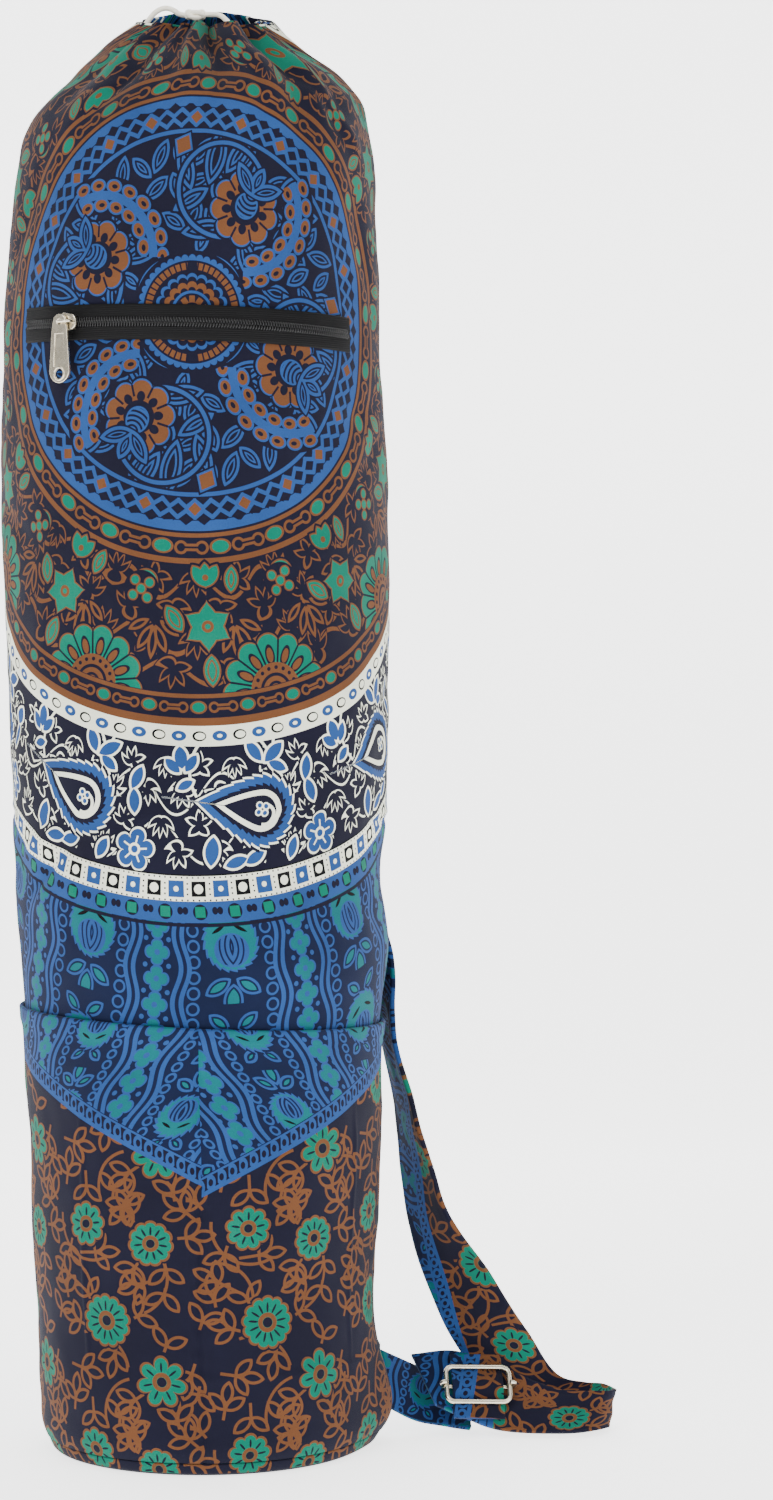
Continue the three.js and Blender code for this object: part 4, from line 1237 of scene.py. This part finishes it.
# The drawcord and its knot
def drawcord():
    points = [Vector(p) * mm for p in cordRoute]
    line = tube("drawcord", points, cord["diameter"] / 2, sides=4)
    line.data.materials.append(materials["cord"])
    placed(line, "bag", ["drawcord_loop", "drawcord_run"])
    middle = Vector(cordRoute[7]) * mm
    turns = []
    for k in range(64):
        t = 2 * pi * k / 64
        swing = 1.15 + 0.6 * cos(3 * t)
        turns.append(middle + Vector((
            0.0034 * sin(2 * t) * 1.05, 0.00105 * swing * cos(2 * t) * 1.2,
            0.00125 * sin(3 * t) + 0.0004 * cos(2 * t))))
    knot = asMesh(tube("drawcord_turns", turns, cord["diameter"] / 2 * 0.98, closed=True, sides=4))
    placed(knot, "bag", ["drawcord_knot"], materials["cord"])


def station(row):
    out, back, up, ax, ay, az = row
    side = bodyRows[2][1] * bag["radius"] + out * strap["reach"]
    middle = Vector((side, back * strap["width"], up * strap["rise"]))
    return middle, Vector((ax, ay, az)) * strap["width"]


def backStations():
    line = spline([Vector((turn, h * 100, off * 100)) for turn, h, off in backRun])
    made = []
    for k in range(27):
        row = line(k / 26)
        off = strap["lift"] + strap["cloth"] / 2 + row.z / 100 * strap["width"]
        height = strap["top"] + (strap["rise"] - strap["top"]) * row.y / 100
        turn = radians(row.x)
        across = Vector((-cos(turn), -sin(turn), 0)) * strap["width"]
        made.append((Vector(onBag(row.x, height, off, 0)), across))
    return made


# A centripetal line through points, as a function of the share of its steps
def spline(points):
    first = points[0] * 2 - points[1]
    last = points[-1] * 2 - points[-2]
    knots = [first, *points, last]

    def at(share):
        place = min(share * (len(points) - 1), len(points) - 1 - 1e-9)
        i = int(place)
        a, b, c, d = knots[i:i + 4]
        gaps = [max((q - p).length, 1e-9) ** 0.5 for p, q in ((a, b), (b, c), (c, d))]
        t = place - i
        m1 = (b - a) / gaps[0] - (c - a) / (gaps[0] + gaps[1]) + (c - b) / gaps[1]
        m2 = (c - b) / gaps[1] - (d - b) / (gaps[1] + gaps[2]) + (d - c) / gaps[2]
        m1, m2 = m1 * gaps[1], m2 * gaps[1]
        return (b * (2 * t**3 - 3 * t**2 + 1) + m1 * (t**3 - 2 * t**2 + t)
                + c * (3 * t**2 - 2 * t**3) + m2 * (t**3 - t**2))

    return at


# A strip of doubled cloth through stations: flat faces with soft rolled edges and stitched sides
def strip(name, stations, cloth, steps, start=0.0, ruck=0.0):
    line = spline([s[0] for s in stations])
    edge = spline([s[1] for s in stations])
    wide = stations[0][1].length
    section = []
    for k in range(25):
        u = -1 + 2 * k / 24
        crown = 0.5 + 0.12 * (1 - u * u) - 0.10 * exp(-((abs(u) - 0.82) / 0.05) ** 2)
        section.append((u * 0.985, crown))
    under = [(u, -c) for u, c in section[::-1]]
    section = [*section, (1.0, 0.25), (1.0, -0.25), *under, (-1.0, -0.25), (-1.0, 0.25)]
    rings, cloths = [], []
    run = start
    before = None
    for i in range(steps + 1):
        t = i / steps
        middle = line(t)
        half = edge(t) / 2
        ahead = line(min(1, t + 0.002)) - line(max(0, t - 0.002))
        face = ahead.cross(half).normalized() * cloth
        if before:
            run += (middle - before).length
        before = middle
        wave = ruck * noise.noise(Vector((run * 60, 3.1, 0)))
        ring, places = [], []
        for k, (u, w) in enumerate(section):
            lift = ruck * noise.noise(Vector((run * 45, u * 1.6, 7)))
            ring.append(middle + half * u + face * w + face.normalized() * (lift + wave * 0.4))
            places.append((u * wide / 2 if k < 27 else -u * wide / 2 + wide, run))
        rings.append(ring)
        cloths.append(places)
    points = np.array(rings, dtype=float)
    piece = gridPiece(name, points, np.array(cloths), closed=10.0)
    tool = bmesh.new()
    tool.from_mesh(piece.data)
    bmesh.ops.holes_fill(tool, edges=[e for e in tool.edges if e.is_boundary], sides=0)
    bmesh.ops.recalc_face_normals(tool, faces=tool.faces)
    tool.to_mesh(piece.data)
    tool.free()
    return piece


def shoulderStrap():
    stations = [*backStations(), *(station(row) for row in frontRun)]
    piece = strip("strap_cloth", stations, strap["cloth"], 430, ruck=0.0008)
    placed(piece, "bag", ["shoulder_strap"], materials["strap"])
    off = 2 * bag["clearance"] + pocket["cloth"] + 0.55 * strap["cloth"]
    low, high = (Vector(onBag(tabSeat[0], k * strap["width"], off, 0)) for k in tabSeat[1:])
    stations = [((low + high) / 2, high - low), *(station(row) for row in tabRun)]
    tab = strip("tab_cloth", stations, strap["cloth"], 50, ruck=0.0003, start=0.9)
    placed(tab, "bag", ["strap_tab"], materials["strap"])


def buckleFrame():
    i = int(buckleStation)
    t = buckleStation - i
    a, b = station(frontRun[i]), station(frontRun[i + 1])
    middle = a[0].lerp(b[0], t)
    run = (a[0] - b[0]).normalized()
    down = -a[1].lerp(b[1], t).normalized()
    face = run.cross(down).normalized()
    if face.y > 0:
        face = -face
    run = down.cross(face).normalized()
    run = Matrix.Rotation(radians(buckle["turn"]), 3, face) @ run
    short = face.cross(run)
    stack = strap["cloth"] / 2 + buckle["lift"] + buckle["bar"] + bag["clearance"] + buckle["wire"] / 2
    place = middle + face * stack
    return Matrix.Translation(place) @ Matrix((run, short, face)).transposed().to_4x4()


def wireBuckle(matrix):
    x, y = (buckle["length"] - buckle["wire"]) / 2, (buckle["width"] - buckle["wire"]) / 2
    c = buckle["corner"]
    path = []
    for sx, sy, start in ((1, 1, 0), (-1, 1, 90), (-1, -1, 180), (1, -1, 270)):
        path += arc((sx * (x - c), sy * (y - c)), c, start, start + 90, 10)
    wire = tube("buckle_wire", [(*p, 0) for p in path], buckle["wire"] / 2, closed=True, sides=5, cubic=False)
    placed(asMesh(wire, matrix), "bag", ["buckle_frame"], materials["metal"])
    around = (buckle["wire"] + buckle["bar"]) / 2 + bag["clearance"]
    half = [(x - around, 0, -around), (x, 0, -around), (x + 0.75 * around, 0, -0.75 * around), (x + around, 0, 0),
            (x + 0.75 * around, 0, 0.72 * around), (x + 0.0001, 0, around)]
    points = [(-px, py, pz) for px, py, pz in half[::-1]] + half
    bar = tube("buckle_rod", points, buckle["bar"] / 2, sides=4)
    placed(asMesh(bar, matrix), "bag", ["buckle_bar"], materials["metal"])


def buckleTongue(matrix):
    cloth, wire, bar, gap = buckle["tongueCloth"], buckle["wire"], buckle["bar"], bag["clearance"]
    under = -(wire + cloth) / 2 - gap
    over = -(wire + bar) / 2 + bar / 2 + cloth / 2
    y, half = buckle["width"] / 2, buckle["tongueLength"] / 2
    table = [(-half, under), (-y - 0.001, under), (-y + wire, under), (-0.35 * y, over - 0.0003), (0, over + 0.0002),
             (0.35 * y, over - 0.0003), (y - wire, under), (y + 0.001, under), (half, under)]
    turn = matrix.to_3x3()
    stations = [(matrix @ Vector((0, a, o)), turn @ Vector((buckle["tongueWidth"], 0, 0))) for a, o in table]
    piece = strip("tongue_cloth", stations, cloth, 60, ruck=0.0001, start=0.4)
    placed(piece, "bag", ["buckle_tongue"], materials["strap"])


def metalMaterial(name, tint, rough):
    material, start = newMaterial(name)
    place = start.of(start.node("TexCoord"), 3)
    haze = start.noise(place, 240, 4)
    scratch = start.noise(place, 1900, 2)
    return finished(material, start, 0.04, 0.0001, scratch + haze, {
        "Base Color": tint, "Metallic": 1.0, "Roughness": haze * 0.22 + rough,
    })


def plainMaterial(name, tint, rough, ribs, shine=0.3):
    material, start = newMaterial(name)
    place = start.of(start.node("TexCoord"), 3)
    parts = start.node("SeparateXYZ", (), {0: place})
    grain = start.noise(place, 900, 2)
    rib = (start.of(parts, 2) * (2 * pi / ribs)).sine()
    paler = tuple(c * 1.7 for c in tint[:3]) + (1,)
    mix = start.node("Mix", {"data_type": "RGBA"}, {0: start.noise(place, 60, 2), 6: tint, 7: paler})
    return finished(material, start, 0.4, 0.0002, rib * 0.6 + grain, {
        "Base Color": start.of(mix, 2), "Roughness": rough, "Specular IOR Level": shine,
    })


materials = {
    "medallion": clothMaterial("medallion_print", bodyPrint(medallion)),
    "field": clothMaterial("field_print", bodyPrint(field)),
    "borders": clothMaterial("border_print", bodyPrint(borders)),
    "pocket": clothMaterial("pocket_print", pocketPrint),
    "strap": clothMaterial("strap_print", strapPrint),
    "binding": plainMaterial("binding", colour(24, 24, 32), 0.9, 0.0011),
    "tape": plainMaterial("zip_tape", colour(8, 8, 9), 0.6, 0.0009, 0.12),
    "coil": plainMaterial("zip_coil", colour(12, 12, 13), 0.28, 0.004, 0.6),
    "cord": plainMaterial("cotton_cord", colour(225, 220, 205), 0.85, 0.0013),
    "metal": metalMaterial("nickel", colour(214, 205, 184), 0.16),
}
print("materials", {m: len(made.node_tree.nodes) for m, made in materials.items()})

drawcord()
print("drawcord")
bagBody()
print("body")
frontPocket()
basePanel()
print("pocket and base")
zipTape()
zipCoil()
zipSlider()
zipPull()
print("zip")
shoulderStrap()
buckleMatrix = buckleFrame()
wireBuckle(buckleMatrix)
buckleTongue(buckleMatrix)
print("strap and buckle")


def makeStage():
    floor = bpy.data.meshes.new("floor")
    size, rise = 3.0, 0.9
    profile = [(-size, 0.0)]
    profile += [(rise + 0.6 * sin(t), 0.6 * (1 - cos(t))) for t in np.linspace(0, pi / 2, 16)]
    profile += [(rise + 0.6, 3.2)]
    verts = [(x, y, z - 0.0002) for y, z in profile for x in (-size, size)]
    faces = [(2 * k, 2 * k + 1, 2 * k + 3, 2 * k + 2) for k in range(len(profile) - 1)]
    floor.from_pydata(verts, [], faces)
    floor.polygons.foreach_set("use_smooth", [True] * len(faces))
    piece = linked("floor", floor)
    material = bpy.data.materials.new("paper")
    material.use_nodes = True
    shader = material.node_tree.nodes["Principled BSDF"]
    shader.inputs["Base Color"].default_value = (0.9, 0.9, 0.9, 1)
    shader.inputs["Roughness"].default_value = 0.9
    shader.inputs["Emission Color"].default_value = (1, 1, 1, 1)
    shader.inputs["Emission Strength"].default_value = 2.2
    floor.materials.append(material)
    world = bpy.data.worlds.new("studio")
    world.use_nodes = True
    world.node_tree.nodes["Background"].inputs[0].default_value = (1, 1, 1, 1)
    world.node_tree.nodes["Background"].inputs[1].default_value = 0.55
    scene.world = world
    for name, place, size, power in (("key", (-1.4, -1.9, 1.7), 1.2, 42), ("fill", (1.6, -1.6, 1.0), 1.4, 22),
                                     ("top", (0.1, -0.2, 2.3), 1.4, 20)):
        data = bpy.data.lights.new(name, "AREA")
        data.size = size
        data.energy = power
        lamp = linked(name, data)
        lamp.location = place
        lamp.rotation_euler = (Vector((0, 0, 0.3)) - Vector(place)).to_track_quat("-Z", "Y").to_euler()


makeStage()
print("stage")
